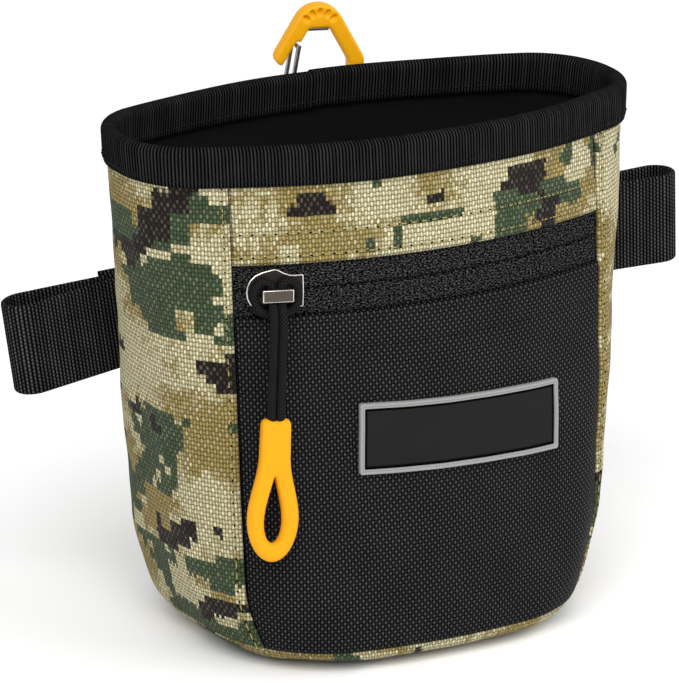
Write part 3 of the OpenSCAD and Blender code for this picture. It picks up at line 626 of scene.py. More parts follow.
finishes = {
    "camo": camoFinish(),
    "pocket": pocketFinish(),
    "lining": plainClothFinish("liningCloth", 0.5, rgb(4, 4, 5), rgb(14, 14, 15), relief=0.05,
                               roughness=0.85),
    "binding": ribFinish("bindingTape", 0.9, 0.8, 0.35, rgb(0, 0, 0), rgb(50, 50, 50), relief=0.18,
                         roughness=0.6),
    "zipTape": knitFinish("zipTape", 0.45, 0.9, rgb(0, 0, 0), rgb(92, 92, 92), 0.1),
    "coil": rubberFinish("zipCoil", rgb(16, 16, 17), rgb(10, 10, 11), 0.35),
    "metal": metalFinish("sliderMetal", rgb(40, 37, 35), rgb(58, 54, 50), 0.3),
    "bar": brushedFinish("brushedBar", rgb(58, 54, 48), rgb(104, 98, 88), 0.32),
    # painted highlight: bright metal on the rounded edges of the slider's plates and bar, standing in for the
    # light that the edges catch
    "edge": metalFinish("edgeHighlightMetal", rgb(205, 202, 196), rgb(225, 222, 216), 0.18),
    "cord": braidFinish("cordBraid", 1.0, rgb(0, 0, 0), rgb(33, 33, 34)),
    "tab": rubberFinish("tabRubber", rgb(228, 155, 0), rgb(222, 148, 0), 0.5, shine=0.22),
    "label": rubberFinish("labelRubber", rgb(31, 31, 32), rgb(25, 25, 26), 0.6, shine=0.04),
    # painted shade: near-black rubber for the label's groove and for the needle holes
    "paintedRecessShade": rubberFinish("paintedRecessShade", rgb(4, 4, 4), rgb(2, 2, 2), 0.7, shine=0.02),
    "labelEdge": rubberFinish("labelBorder", rgb(141, 141, 140), rgb(123, 123, 122), 0.5, shine=0.3),
    "webbing": ribFinish("webbing", 1.0, 1.06, 0.9, rgb(0, 0, 0), rgb(80, 82, 81), relief=0.24,
                         roughness=0.65),
    "hook": rubberFinish("hookPlastic", rgb(234, 166, 0), rgb(226, 154, 0), 0.45, grainSize=0.4, relief=0.01,
                         shine=0.22),
    "wire": metalFinish("wireSteel", rgb(190, 190, 192), rgb(150, 150, 152), 0.2),
    "goldThread": threadFinish("goldThread", rgb(172, 160, 102), rgb(122, 110, 62)),
    "blackThread": threadFinish("blackThread", rgb(24, 24, 25), rgb(8, 8, 9)),
}
print("finishes:", len(finishes))


def dress(obj, finish, body, slot, *nodes):  # finish, ride and stand for the CAD nodes
    obj.data.materials.append(finishes[finish])
    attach(obj, body)
    if nodes:
        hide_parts(*nodes)
    return obj


# pull cord: one length, hitched round the slider's bar, with both ends in the tab

pull = {
    "cordDiameter": 2.4, "strandX": 1.2, "strandY": -4.65, "underY": -1.95, "axisZ": -8.75, "tilt": 2.2,
    "zipHeight": 102.7, "cadHeight": 103.3, "sliderAngle": -17.4, "tabDrop": 32.2, "intoTab": 3.0,
    "tabLength": 37.6, "tabTop": 7.6, "tabWidth": 13.5, "tabRound": 11.5, "tabThick": 4.0,
    "holeWidth": 4.7, "holeHeight": 17.2, "holeRound": 5.5, "holeFoot": 5.0, "softEdge": 1.75,
    "topRound": 1.3, "taperShare": 0.85, "taperEnd": 0.66, "edgeShare": 0.46, "around": 144,
}
sliderRadius = bag["frontRadius"] + frontSlope * (bag["height"] - pull["zipHeight"])
sliderPlace = (Matrix.Translation((0, axisY, 0)) @ Matrix.Rotation(math.radians(pull["sliderAngle"]), 4, "Z")
               @ Matrix.Translation((0, -sliderRadius, pull["zipHeight"]))
               @ Matrix.Rotation(-math.atan(frontSlope), 4, "X"))
sliderCad = Matrix.Translation((0, 0, pull["cadHeight"] - pull["zipHeight"])) @ sliderPlace
pullPlace = (sliderPlace @ Matrix.Translation((0, pull["strandY"], pull["axisZ"]))
             @ Matrix.Rotation(math.radians(pull["tilt"]), 4, "Y"))


def moved(place, points):
    m = np.array(place)
    return np.asarray(points, float) @ m[:3, :3].T + m[:3, 3]


def otherSide(points):  # mirrored, and from the last point back to the first
    return [(-x, *rest) for x, *rest in reversed(points)]


def makeCord():
    x, y, under = pull["strandX"], pull["strandY"], pull["underY"]
    tabTop = -pull["tabDrop"] - pull["axisZ"]
    hanging = [(-x, 0, z) for z in (tabTop - pull["intoTab"], tabTop, tabTop * 0.72, tabTop * 0.4, -3)]
    rising = [(-x, y, pull["axisZ"] + 1.4), (-x, y + 0.3, -5.4), (-x, -3.1, -3.3), (-x, under, -1.4),
              (-x, under, 0.4), (-x - 0.2, under, 1.8)]
    ring = [(-2.5, under, 2.8), (-4.0, under, 2.8), (-5.2, under, 1.8), (-5.75, under, 0.0),
            (-5.6, under, -2.1), (-4.6, under, -4.1), (-2.6, under, -5.4), (0, under, -5.8)]
    hitch = rising + ring + otherSide(ring[:-1]) + otherSide(rising)
    route = smoothRoute(np.concatenate([moved(pullPlace, hanging), moved(sliderPlace, hitch),
                                        moved(pullPlace, otherSide(hanging))]), 0.5)
    cord = tube("pullCordBraid", route, pull["cordDiameter"] / 2, 12)
    cord.data.materials.append(finishes["cord"])
    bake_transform(cord)
    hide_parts("cord_hitch", "pull_cord")


makeCord()


def resample(outline, count):
    closed = np.concatenate([outline, outline[:1]])
    lengths = runLengths(closed)
    marks = np.linspace(0, lengths[-1], count, endpoint=False)
    return np.stack([np.interp(marks, lengths, closed[:, k]) for k in range(2)], -1)


def roundFoot(half, height, count):  # from the lowest point out to the full width
    return [(half * math.sin(a), height - height * math.cos(a)) for a in np.linspace(0, math.pi / 2, count)]


def tabOutline():  # from the lowest point round to it again, v up from the lowest point
    low, top, length, r = pull["tabWidth"] / 2, pull["tabTop"] / 2, pull["tabLength"], pull["topRound"]
    foot = pull["tabRound"]
    half = roundFoot(low, foot, 40)
    for q in np.linspace(0, 1, 60)[1:]:
        taper = lerp(1 - q, 1 - ease(q / pull["taperEnd"]), pull["taperShare"])
        half.append((top + (low - top) * float(taper), lerp(foot, length - r, q)))
    for a in np.linspace(math.pi / 2, 0, 10)[1:]:
        half.append((top - r + r * math.sin(a), length - r + r * math.cos(a)))
    half.append((0, length - 0.5))
    return np.array(half + otherSide(half[1:-1]))


def holeOutline():  # an almond with a round foot
    low, height, foot = pull["holeWidth"] / 2, pull["holeHeight"], pull["holeRound"]
    half = roundFoot(low, foot, 24)
    for q in np.linspace(0, 1, 40)[1:]:
        half.append((low * (0.1 + 0.9 * math.cos(q * math.pi / 2) ** 1.15), foot + (height - foot - 0.3) * q))
    half.append((0, height))
    return np.array(half + otherSide(half[1:-1]))


def makeTab():
    t = pull["tabThick"] / 2
    outer, hole = (resample(outline, pull["around"]) for outline in (tabOutline(), holeOutline()))
    hole[:, 1] += pull["holeFoot"]
    foot = -pull["tabDrop"] - pull["axisZ"] - pull["tabLength"]
    bend = np.radians(np.linspace(-90, 90, 11))
    sections = []
    for o, h in zip(outer, hole):
        wide = np.linalg.norm(h - o)
        r = min(pull["softEdge"], wide * pull["edgeShare"])
        steps = ([(r * (1 - math.cos(a)), (t - r) * np.sign(a) + r * math.sin(a)) for a in bend]
                 + [(wide - r * (1 - math.cos(a)), (t - r) * np.sign(a) + r * math.sin(a)) for a in -bend])
        ring = [(*(o + (h - o) * (inset / wide)), y) for inset, y in steps]
        sections.append(moved(pullPlace, [(x, y, foot + z) for x, z, y in ring]))
    dress(hoop("pullTabRubber", sections), "tab", "zip_pull", "tab_rubber", "pull_tab")


makeTab()


slider = {
    "outline": ((-7.6, 0), (-7.35, 1.7), (-6.6, 3.2), (-5.2, 4.5), (-3.2, 5.3), (-0.9, 5.8), (0, 5.95),
                (0.9, 5.7), (2.4, 4.85), (3.9, 4.3), (5.4, 4.2), (7.2, 4.3), (7.55, 4.0), (7.65, 0)),
    "front": (1.0, -0.4), "back": (4.3, 5.28), "post": (-5.7, -2.6, 0.5), "postSunk": 0.1, "bevel": 0.32,
    "rimAngle": 69, "barZ": -0.45, "barHeight": 0.82, "barBevel": 0.3, "barAngle": 32,
}


def makeSlider():
    top = list(slider["outline"])
    outline = top + [(x, -z) for x, z in reversed(top[1:-1])]
    bm = bmesh.new()
    for near, far in (slider["front"], slider["back"]):
        faces = [bm.faces.new([bm.verts.new((x, y, z)) for x, z in outline]) for y in (near, far)]
        for a, b in zip(range(len(outline)), [*range(1, len(outline)), 0]):
            bm.faces.new([faces[0].verts[a], faces[0].verts[b], faces[1].verts[b], faces[1].verts[a]])
    left, right, half = slider["post"]
    start, end = slider["front"][0] - slider["postSunk"], slider["back"][0] + slider["postSunk"]
    for v in bmesh.ops.create_cube(bm, size=1)["verts"]:
        v.co = (left if v.co.x < 0 else right, start if v.co.y < 0 else end, math.copysign(half, v.co.z))
    bmesh.ops.recalc_face_normals(bm, faces=bm.faces)
    rim = [e for e in sharpEdges(bm, slider["rimAngle"]) if abs(e.verts[0].co.y - e.verts[1].co.y) < 0.1]
    roundEdges(bm, rim, slider["bevel"])
    for v in bm.verts:
        v.co = sliderPlace @ v.co * mm
    plates = objectFrom(bm, "sliderPlates", 50)
    dress(plates, "metal", "zip_slider", "slider_metal", "slider_body")
    # painted highlight: the rounded rims take the bright edge metal
    plates.data.materials.append(finishes["edge"])


makeSlider()


def makeBridge():
    bm = nodeCopy("slider_bridge")
    bmesh.ops.dissolve_limit(bm, angle_limit=math.radians(0.8), verts=bm.verts, edges=bm.edges)
    roundEdges(bm, sharpEdges(bm, slider["barAngle"]), slider["barBevel"] * mm)
    bmesh.ops.triangulate(bm, faces=[f for f in bm.faces if len(f.verts) > 4])
    bar = objectFrom(bm, "sliderBridge", 38)
    lower = Matrix.Translation((0, 0, slider["barZ"])) @ Matrix.Scale(slider["barHeight"], 4, (0, 0, 1))
    fromCad = sliderCad.inverted() @ Matrix.Scale(1 / mm, 4)
    bar.data.transform(Matrix.Scale(mm, 4) @ sliderPlace @ lower @ fromCad)
    dress(bar, "bar", "zip_slider", "slider_metal", "slider_bridge")
    # painted highlight: the bar's rounded edges take the bright edge metal
    bar.data.materials.append(finishes["edge"])


makeBridge()
print("zip pull made")

# sewn panels

seams = {
    "gap": 0.15, "edgeRadius": 0.7, "aboveBase": 0.3, "grid": 1.0,
    "upperRows": (2.1, 8.0), "upperFold": 9.2, "pocketRows": (1.9, 9.3), "pocketFold": 10.3,
    "foldRaise": 0.4, "foldFade": 1.6, "sideStitch": 1.9, "sideFold": 7.0, "sideRaise": 0.45, "sideFade": 3,
    "rowDepth": 0.2, "rowWidth": 0.8, "dip": 0.3, "frontDipWidth": 1.6, "baseDip": 0.5, "dipWidth": 1.5,
}
swells = {  # how far a panel fills out, how fast from each seam, and where that fades at its top
    "pocket": 0.7, "pocketSide": 8, "pocketEnd": 8, "pocketFade": 16, "side": 0.6, "sideFront": 12,
    "sideEnd": 128, "sideFade": 20, "foldEnd": 131, "foldFade": 4, "back": 9, "base": 9,
}
calm = {  # where the ripple fades out
    "rim": 8, "rimFade": 14, "base": 4, "baseFade": 12, "zipPast": 2, "zipFade": 6, "zipReach": 22,
}
cutFrom = {  # each panel's own place on the printed cloth
    "upper": (310, 40), "left": (0, 0), "right": (150, 230), "back": (520, 90), "base": (700, 20),
}


def rowPull(distance, rows):  # stitches draw the cloth in along each row
    return sum(seams["rowDepth"] * np.exp(-((distance - row) / seams["rowWidth"]) ** 2) for row in rows)


def fill(distance, width):  # the cloth fills out away from a seam
    return 1 - np.exp(-distance / width)


def fall(distance, width):  # and falls in beside it
    return np.exp(-distance / width)


def dips(edge, width, low):  # at a seam beside the cloth and at the base seam
    return seams["dip"] * fall(edge, width) + seams["baseDip"] * fall(low, seams["dipWidth"])


def softness(s, z):  # the ripple, faded out at the rim, at the base and round the zip
    top = ease((bag["panelTop"] - calm["rim"] - z) / calm["rimFade"])
    foot = ease((z - calm["base"]) / calm["baseFade"])
    zipSide = ease((bag["frontHalf"] + calm["zipPast"] - np.abs(s)) / calm["zipFade"])
    zipHeight = ease(1 - np.abs(z - pull["cadHeight"]) / calm["zipReach"])
    return ripple(s, z) * top * foot * (1 - zipSide * zipHeight)


def pocketOut(s, z):
    edge, top, low = frontSeam(z) - np.abs(s), bag["zipLow"] - z, z - bag["baseSeam"]
    swell = swells["pocket"] * fill(edge, swells["pocketSide"]) * fill(low, swells["base"])
    swell = swell * ease((top - swells["pocketEnd"]) / swells["pocketFade"])
    fold = seams["foldRaise"] * ease((seams["pocketFold"] - top) / seams["foldFade"])
    sunk = dips(edge, seams["frontDipWidth"], low) + rowPull(top, seams["pocketRows"])
    return swell + fold + 0.8 * softness(s, z) - sunk


def upperOut(s, z):
    edge, low = frontSeam(z) - np.abs(s), z - bag["zipHigh"]
    fold = seams["foldRaise"] * ease((seams["upperFold"] - low) / seams["foldFade"])
    return fold - seams["dip"] * fall(edge, seams["frontDipWidth"]) - rowPull(low, seams["upperRows"])


def sideOut(s, z):
    edge, far, low = np.abs(s) - frontSeam(z), backSeam(z) - np.abs(s), z - bag["baseSeam"]
    swell = swells["side"] * fill(edge, swells["sideFront"]) * fill(far, swells["back"])
    swell = swell * fill(low, swells["base"]) * ease((swells["sideEnd"] - z) / swells["sideFade"])
    fold = seams["sideRaise"] * ease((seams["sideFold"] - edge) / seams["sideFade"])
    fold = fold * ease((swells["foldEnd"] - z) / swells["foldFade"])
    sunk = dips(far, seams["dipWidth"], low) + rowPull(edge, (seams["sideStitch"],))
    return swell + fold + softness(s, z) - sunk


def backOut(b, z):
    far, low = bag["backHalf"] - np.abs(b), z - bag["baseSeam"]
    return 0.6 * softness(b * 1.3 + 40, z) - dips(far, seams["dipWidth"], low)


def panelGrid(low, high, startAt, endAt):
    heights = np.linspace(low, high, round((high - low) / seams["grid"]) + 1)
    width = float(np.max(endAt(heights) - startAt(heights)))
    shares = np.linspace(0, 1, round(width / seams["grid"]) + 1)
    z = np.repeat(heights[:, None], len(shares), 1)
    return startAt(z) + (endAt(z) - startAt(z)) * shares, z


def turnedEdges(s, z, out, r):  # the cut edges of a panel roll in
    left, right = np.abs(s - s[:, :1]), np.abs(s - s[:, -1:])
    near = np.minimum(np.minimum(left, right), np.minimum(z - z[:1], z[-1:] - z))
    return out - rollIn(near, r)


def makePanels():
    gap, r, cloth = seams["gap"], seams["edgeRadius"], bag["clothThick"]
    low, high = bag["baseSeam"] + seams["aboveBase"], bag["panelTop"]

    def frontGrid(bottom, top):
        return panelGrid(bottom, top, lambda z: gap - frontSeam(z), lambda z: frontSeam(z) - gap)

    s, z = frontGrid(low, bag["zipLow"])
    pocket = slab("pocketCloth", s, z, turnedEdges(s, z, pocketOut(s, z), r), cloth)
    dress(pocket, "pocket", "pouch", "pocket_cloth", "front_pocket_panel")
    s, z = frontGrid(bag["zipHigh"], high)
    upper = slab("upperCloth", s, z, turnedEdges(s, z, upperOut(s, z), r), cloth, cutFrom["upper"])
    dress(upper, "camo", "pouch", "camo_cloth", "front_upper_panel")
    right, z = panelGrid(low, high, lambda z: frontSeam(z) + gap, lambda z: backSeam(z) - gap)
    for side, s in (("left", -right[:, ::-1]), ("right", right)):
        out = turnedEdges(s, z, sideOut(s, z), r)
        panel = slab(side + "SideCloth", s, z, out, cloth, cutFrom[side])
        dress(panel, "camo", "pouch", "camo_cloth", side + "_side_panel")
    half = bag["backHalf"] - gap
    b, z = panelGrid(low, high, lambda z: 0 * z - half, lambda z: 0 * z + half)
    out = backOut(b, z) - rollIn(np.minimum(half - np.abs(b), z - low), r)
    back = slab("backCloth", fromBack(b, z), z, out, cloth, cutFrom["back"], b)
    dress(back, "camo", "pouch", "camo_cloth", "back_panel")


baseCloth = {
    "around": 240, "rings": (0.92, 0.8, 0.6, 0.4, 0.2, 0.05), "thick": 0.8, "inside": 0.985, "wave": 0.25,
    "seamDip": 0.6, "dipWidth": 0.9, "tuckHalf": 50, "tuckLeft": 10, "tuckRight": 35, "tuckPower": 1.5,
}


def makeBase():
    heights = np.concatenate([np.linspace(bag["baseSeam"], 0.6, 9), [0.25, 0.06, 0]])
    count = baseCloth["around"]
    shares = np.linspace(-1, 1, count, endpoint=False)
    seamHalf = halfGirth(bag["baseSeam"])
    rows, uvRows = [], []
    for z in heights:
        s = shares * halfGirth(z)
        wave = baseCloth["wave"] * np.sin(s * 0.21) * math.sin(min(1, z / 3) * math.pi)
        tuck = bag["frontTuck"] * (1 - z / bag["baseSeam"]) ** baseCloth["tuckPower"]
        tuck = tuck * ease((baseCloth["tuckHalf"] + s) / baseCloth["tuckLeft"])
        tuck = tuck * ease((baseCloth["tuckHalf"] - s) / baseCloth["tuckRight"])
        sunk = baseCloth["seamDip"] * fall(bag["baseSeam"] - z, baseCloth["dipWidth"])
        rows.append(wallPoint(s, z, wave - tuck - sunk))
        uvRows.append(np.stack([shares * seamHalf, np.full(count, z + 2 - 8 * (1 - min(1, z / 2)))], -1))
    edge = rows[-1]
    middle = edge.mean(0)
    rows += [middle + (edge - middle) * share for share in baseCloth["rings"]]
    outer = np.concatenate(rows)
    inner = outer.copy()
    inner[:, 2] = np.maximum(inner[:, 2], 0) + baseCloth["thick"]
    inner[:, :2] = middle[:2] + (inner[:, :2] - middle[:2]) * baseCloth["inside"]
    faces = bowlFaces(len(rows), count, flip=True)
    uvs = []
    for face in faces:
        spots = [divmod(v % len(outer), count) for v in face]
        columns = [column for _, column in spots]
        wraps = max(columns) - min(columns) > 1
        if len(face) == 4 and max(row for row, _ in spots) < len(heights):  # up the side
            uvs += [uvRows[row][column] + (2 * seamHalf if wraps and column == 0 else 0, 0)
                    for row, column in spots]
        else:
            uvs += [outer[row * count + column][:2] for row, column in spots]
    points = np.concatenate([outer, inner])
    obj = makeObject("baseCloth", points, faces, faceUvs=np.array(uvs) + cutFrom["base"])
    turnOut(obj)
    dress(obj, "camo", "pouch", "camo_cloth", "bottom_panel")


liner = {
    "depth": 1.3, "thick": 0.6, "top": 138.2, "pocketDepth": 5.6, "pocketFloor": 11.5, "swellPast": 12,
    "swellFade": 10, "swellRise": 14, "swellTop": 128, "crumpleTop": 126, "crumpleFade": 14, "crumpleLow": 6,
    "crumpleRise": 16, "floorIn": 1.8, "floorFrom": 9, "floorFade": 5,
    "around": 260, "rings": (0.7, 0.4, 0.1),
}


def liningOut(s, z):
    swell = (ease((bag["frontHalf"] + liner["swellPast"] - np.abs(s)) / liner["swellFade"])
             * ease((z - liner["pocketFloor"]) / liner["swellRise"])
             * ease((liner["swellTop"] - z) / liner["swellRise"]))
    crumple = 0.9 + 1.3 * ripple(s * 1.4 + 60, z * 1.2)
    crumple = crumple * ease((liner["crumpleTop"] - z) / liner["crumpleFade"])
    crumple = crumple * ease((z - liner["crumpleLow"]) / liner["crumpleRise"])
    floorTurn = liner["floorIn"] * ease((liner["floorFrom"] - z) / liner["floorFade"])
    return -liner["depth"] - liner["pocketDepth"] * swell - np.maximum(crumple, 0) - floorTurn


def makeLining():
    count = liner["around"]
    heights = np.concatenate([np.linspace(liner["top"], liner["floorFrom"], 70), np.linspace(7.6, 3.6, 6)])
    rows, backs, uvs = [], [], []
    for z in heights:
        s = np.linspace(-1, 1, count, endpoint=False) * halfGirth(z)
        out = liningOut(s, z)
        rows.append(wallPoint(s, z, out - liner["thick"]))
        backs.append(wallPoint(s, z - (0.5 if z < 4 else 0), out))
        uvs.append(np.stack([s, np.full(count, z)], -1))
    edges = rows[-1], backs[-1]
    for share in liner["rings"]:
        for stack, edge in zip((rows, backs), edges):
            stack.append(edge.mean(0) + (edge - edge.mean(0)) * share)
        uvs.append(rows[-1][:, :2])
    obj = makeObject("liningCloth", np.concatenate(rows + backs), bowlFaces(len(rows), count),
                     np.concatenate(uvs + uvs))
    turnOut(obj)
    dress(obj, "lining", "pouch", "lining_cloth", "lining", "pocket_back")


tape = {
    "height": 10, "thick": 0.9, "outer": 1.2, "inner": 3.1, "crown": 2.0, "shoulder": 2.6, "hollowTop": 1.4,
    "lip": 0.25, "stations": 760, "wave": 0.16,
}


def makeBinding():
    top, bottom = bag["height"], bag["height"] - tape["height"]
    outer, inner, thick, crown = (tape[key] for key in ("outer", "inner", "thick", "crown"))
    middle, reach = (outer - inner) / 2, (outer + inner) / 2
    shoulder, hollowTop = top - tape["shoulder"], top - tape["hollowTop"]
    dome = [(middle + reach * math.cos(a), top - crown + crown * math.sin(a))
            for a in np.linspace(0.15, math.pi - 0.15, 13)]
    outerFace = [(outer, z) for z in np.linspace(bottom, shoulder, 7)]
    outerFace[0] = (outer - tape["lip"], bottom)
    innerFace = [(-inner, z) for z in np.linspace(shoulder, bottom, 7)]
    hollow = [(thick - inner, bottom), (thick - inner, hollowTop), (outer - thick, hollowTop),
              (outer - thick, bottom)]
    profile = outerFace + dome + innerFace + hollow
    run = runLengths(np.array(profile))
    sections, uvs = [], []
    for k in range(tape["stations"]):
        share = -1 + 2 * k / tape["stations"]
        where = share * halfGirth(top)
        lift = tape["wave"] * (math.sin(where * 0.043) + 0.6 * math.sin(where * 0.113 + 1))
        lean = tape["wave"] * math.sin(where * 0.071 + 0.5)
        sections.append(np.array([wallPoint(share * halfGirth(z), z, o + lean * (z - bottom) / tape["height"])
                                  for o, z in profile]) + (0, 0, lift))
        uvs.append(np.stack([np.full(len(profile), where), run], -1))
    obj = hoop("rimTape", sections, np.concatenate(uvs))
    dress(obj, "binding", "pouch", "binding_tape", "rim_binding")


zipper = {
    "middle": 102.7, "tape": 9.6, "thick": 1.601, "depth": 1.3, "rise": 0.2, "meet": 0.1, "halfAngle": 22,
    "riseAt": 1.4, "riseWidth": 1.3, "meetRound": 0.4, "tuck": 0.8, "tuckFrom": 6.2, "tuckOver": 2,
    "coilRadius": 0.9, "coilPitch": 1.3, "wire": 0.28, "coilDepth": 2.95, "coilUp": 1.7,
}


def makeZip():
    half = math.radians(zipper["halfAngle"]) * sliderRadius
    halves = ((1, "upper"), (-1, "lower"))
    for side, which in halves:
        up = np.concatenate([np.linspace(zipper["meet"], 3.5, 8), np.linspace(4.2, zipper["tape"], 8)])
        heights = zipper["middle"] + side * up
        z, s = np.meshgrid(heights[::side], np.linspace(-half, half, 160), indexing="ij")
        away = np.abs(z - zipper["middle"])
        rise = zipper["rise"] * np.exp(-((away - zipper["riseAt"]) / zipper["riseWidth"]) ** 2)
        tuck = zipper["tuck"] * np.clip((away - zipper["tuckFrom"]) / zipper["tuckOver"], 0, 1)
        out = rise - zipper["depth"] - rollIn(away - zipper["meet"], zipper["meetRound"]) - tuck
        piece = slab(which + "ZipTape", s, z, out, zipper["thick"])
        dress(piece, "zipTape", "pouch", "zip_tape", "zip_tape_" + which)
    for side, which in halves:
        turns = 2 * half / zipper["coilPitch"]
        a = np.linspace(0, 1, int(turns * 8))
        turn = a * turns * 2 * math.pi
        r = zipper["coilRadius"] - zipper["wire"]
        z = zipper["middle"] + side * zipper["coilUp"] + r * np.sin(turn)
        route = wallPoint((2 * a - 1) * half, z, -zipper["coilDepth"] + r * np.cos(turn))
        piece = tube(which + "ZipCoil", route, zipper["wire"], 6)
        dress(piece, "coil", "pouch", "zip_coil", "zip_coil_" + which)


makePanels()
makeBase()
makeLining()
makeBinding()
makeZip()
print("bag sewn")

# label, left bare

label = {"width": 61.3, "height": 18.6, "along": 5.3, "up": 61.6, "tilt": -2.3, "thick": 1.0, "border": 1.3,
         "corner": 0.6, "groove": 0.7, "grooveDepth": 0.04, "foot": -0.3, "around": 360, "grid": (30, 90)}


def labelPoint(u, v, out):
    c, n = math.cos(math.radians(label["tilt"])), math.sin(math.radians(label["tilt"]))
    s, z = label["along"] + u * c - v * n, label["up"] + u * n + v * c
    return wallPoint(s, z, np.maximum(pocketOut(s, z), 0) + out)


def roundedFrame(inset):
    w, h, r = label["width"] / 2 - inset, label["height"] / 2 - inset, max(0.25, label["corner"] - inset)
    points = []
    for x, y, start in ((w - r, r - h, -90), (w - r, h - r, 0), (r - w, h - r, 90), (r - w, r - h, 180)):
        turn = np.radians(np.linspace(start, start + 90, 14))
        points += [(x + r * math.cos(a), y + r * math.sin(a)) for a in turn]
    return resample(np.array(points), label["around"])


def labelRing(name, steps, finish, slot, *nodes):  # a ring round the label, steps are inset and height
    frames = [roundedFrame(inset) for inset, _ in steps]
    sections = [np.array([labelPoint(*f[k], out) for f, (_, out) in zip(frames, steps)])
                for k in range(label["around"])]
    dress(hoop(name, sections), finish, "pouch", slot, *nodes)


def makeLabel():
    edge, groove, foot = label["border"], label["groove"], label["foot"]
    broadRib = [(0.05, foot), (0, 0.5), (0.02, 1.2), (0.1, 1.4), (0.25, 1.48), (0.6, 1.5), (0.7, 1.44),
                (0.78, 1.3)]
    thinRib = [(0.88, 1.3), (0.95, 1.42), (1.03, 1.46), (edge - 0.08, 1.42), (edge, 1.28), (edge, 0.5),
               (edge - 0.1, foot)]
    labelRing("labelEdge", broadRib + thinRib, "labelEdge", "label_border", "label_border")
    # painted shade: a near-black ring, sunk only by grooveDepth, between border and field, where the groove's
    # shadow falls
    low, start, end = label["thick"] - label["grooveDepth"], edge - 0.05, edge + groove + 0.05
    bed = [(start, foot), (start, low), (end, low), (end, foot)]
    labelRing("paintedRecessShade", bed, "paintedRecessShade", "label_rubber")
    rows, columns = label["grid"]
    inset = edge + groove
    u, v = np.meshgrid(np.linspace(-1, 1, columns) * (label["width"] / 2 - inset),
                       np.linspace(-1, 1, rows) * (label["height"] / 2 - inset))
    points = np.concatenate([labelPoint(u, v, out).reshape(-1, 3) for out in (label["thick"], foot)])
    field = makeObject("labelField", points, sheetFaces(rows, columns))
    dress(field, "label", "pouch", "label_rubber", "label_plate")


makeLabel()
print("label made")

# webbing

web = {
    "width": 25, "thick": 1.4, "height": 82.7, "rise": 6.8, "root": 52, "gap": 8.6, "rootGap": 0.4, "sag": 2,
    "bandRight": 51.0, "bandLeft": 50.6, "bandSkew": 0.12, "bandLift": 0.3, "hangerX": 8, "hangerWidth": 15,
    "hangerY": 39.45, "hangerAbove": 2, "hangerThin": 0.05, "hangerLayer": 1.02, "barY": 45.8, "barZ": 112.2,
    "barRadius": 2.45, "barTurn": 16, "sagLength": 40, "layerGap": 0.03, "edgeRadius": 0.6, "steps": 24,
}
loops = (
    {"name": "leftLoopWeb", "body": "left_loop", "node": "left_webbing_loop", "side": -1, "reach": 34.7,
     "root": (-52.688, 36.216, 79.3), "swing": -10, "droop": 9.5, "turnedEnd": (1.6, 6.9, 0.9)},
    {"name": "rightLoopWeb", "body": "right_loop", "node": "right_webbing_loop", "side": 1, "reach": 62,
     "root": (52.218, 35.193, 84.1), "swing": 4.5, "droop": -3},
)


def loopPath(length):
    foldR, rootR = web["gap"] / 2 + web["thick"] / 2, web["rootGap"] + web["thick"] / 2
    reach = length - web["gap"] / 2 - web["thick"]
    lean = math.asin((foldR - rootR) / reach)
    turn = np.linspace(-math.pi / 2 - lean, math.pi / 2 + lean, web["steps"])
    bend = np.column_stack([reach + foldR * np.cos(turn), foldR * np.sin(turn)])
    start = np.array([-rootR * math.sin(lean), -rootR * math.cos(lean)])
    front = np.linspace(start, bend[0], web["steps"], endpoint=False)
    rear = np.linspace(bend[-1], start * (1, -1), web["steps"] + 1)[1:]
    return np.concatenate([front, bend, rear])


def makeLoops():
    for loop in loops:
        path = loopPath(loop["reach"])
        turn = (Matrix.Translation(loop["root"]) @ Matrix.Scale(loop["side"], 4, (1, 0, 0))
                @ Matrix.Rotation(math.radians(-loop["swing"]), 4, "Z")
                @ Matrix.Rotation(math.radians(loop["droop"]), 4, "Y"))
        route = moved(turn, np.column_stack([path, np.zeros(len(path))]))
        across = turn.to_3x3() @ Vector((0, 0, 1))
        piece = strap(loop["name"], route, across, web["width"], web["thick"])
        dress(piece, "webbing", loop["body"], "webbing", loop["node"])
        if "turnedEnd" in loop:  # the strip's end, turned back and sewn behind the rear layer, a little high
            near, far, lift = loop["turnedEnd"]
            root, bend = path[-1], path[-1 - web["steps"]]
            along = (bend - root) / np.linalg.norm(bend - root)
            behind = np.array([-along[1], along[0]]) * (web["thick"] + web["layerGap"])
            end = root + behind + np.outer(np.linspace(near, far, 8), along)
            route = moved(turn, np.column_stack([end, np.full(len(end), lift)]))
            turned = strap("turnedEndWeb", route, across, web["width"], web["thick"])
            dress(turned, "webbing", loop["body"], "webbing")


def bandHeight(b):  # middle of the band, b mm round the back from its centre
    return web["height"] - web["rise"] / 2 * b / web["root"] - web["sag"] * ease(-b / web["sagLength"])


def makeBackBand():
    v, share = np.meshgrid(np.linspace(-1, 1, 30) * web["width"] / 2, np.linspace(0, 1, 120), indexing="ij")
    right, left = web["bandRight"], web["bandLeft"] + v * web["bandSkew"]
    b = (right + left) * share - right
    z = bandHeight(b) + v
    near = np.minimum(web["width"] / 2 - np.abs(v), np.minimum(right + b, left - b))
    out = web["bandLift"] + web["thick"] - rollIn(near, web["edgeRadius"])
    band = slab("backBandWeb", fromBack(b, z), z, out, web["thick"] + 0.01, along=b)
    dress(band, "webbing", "pouch", "webbing", "back_webbing")


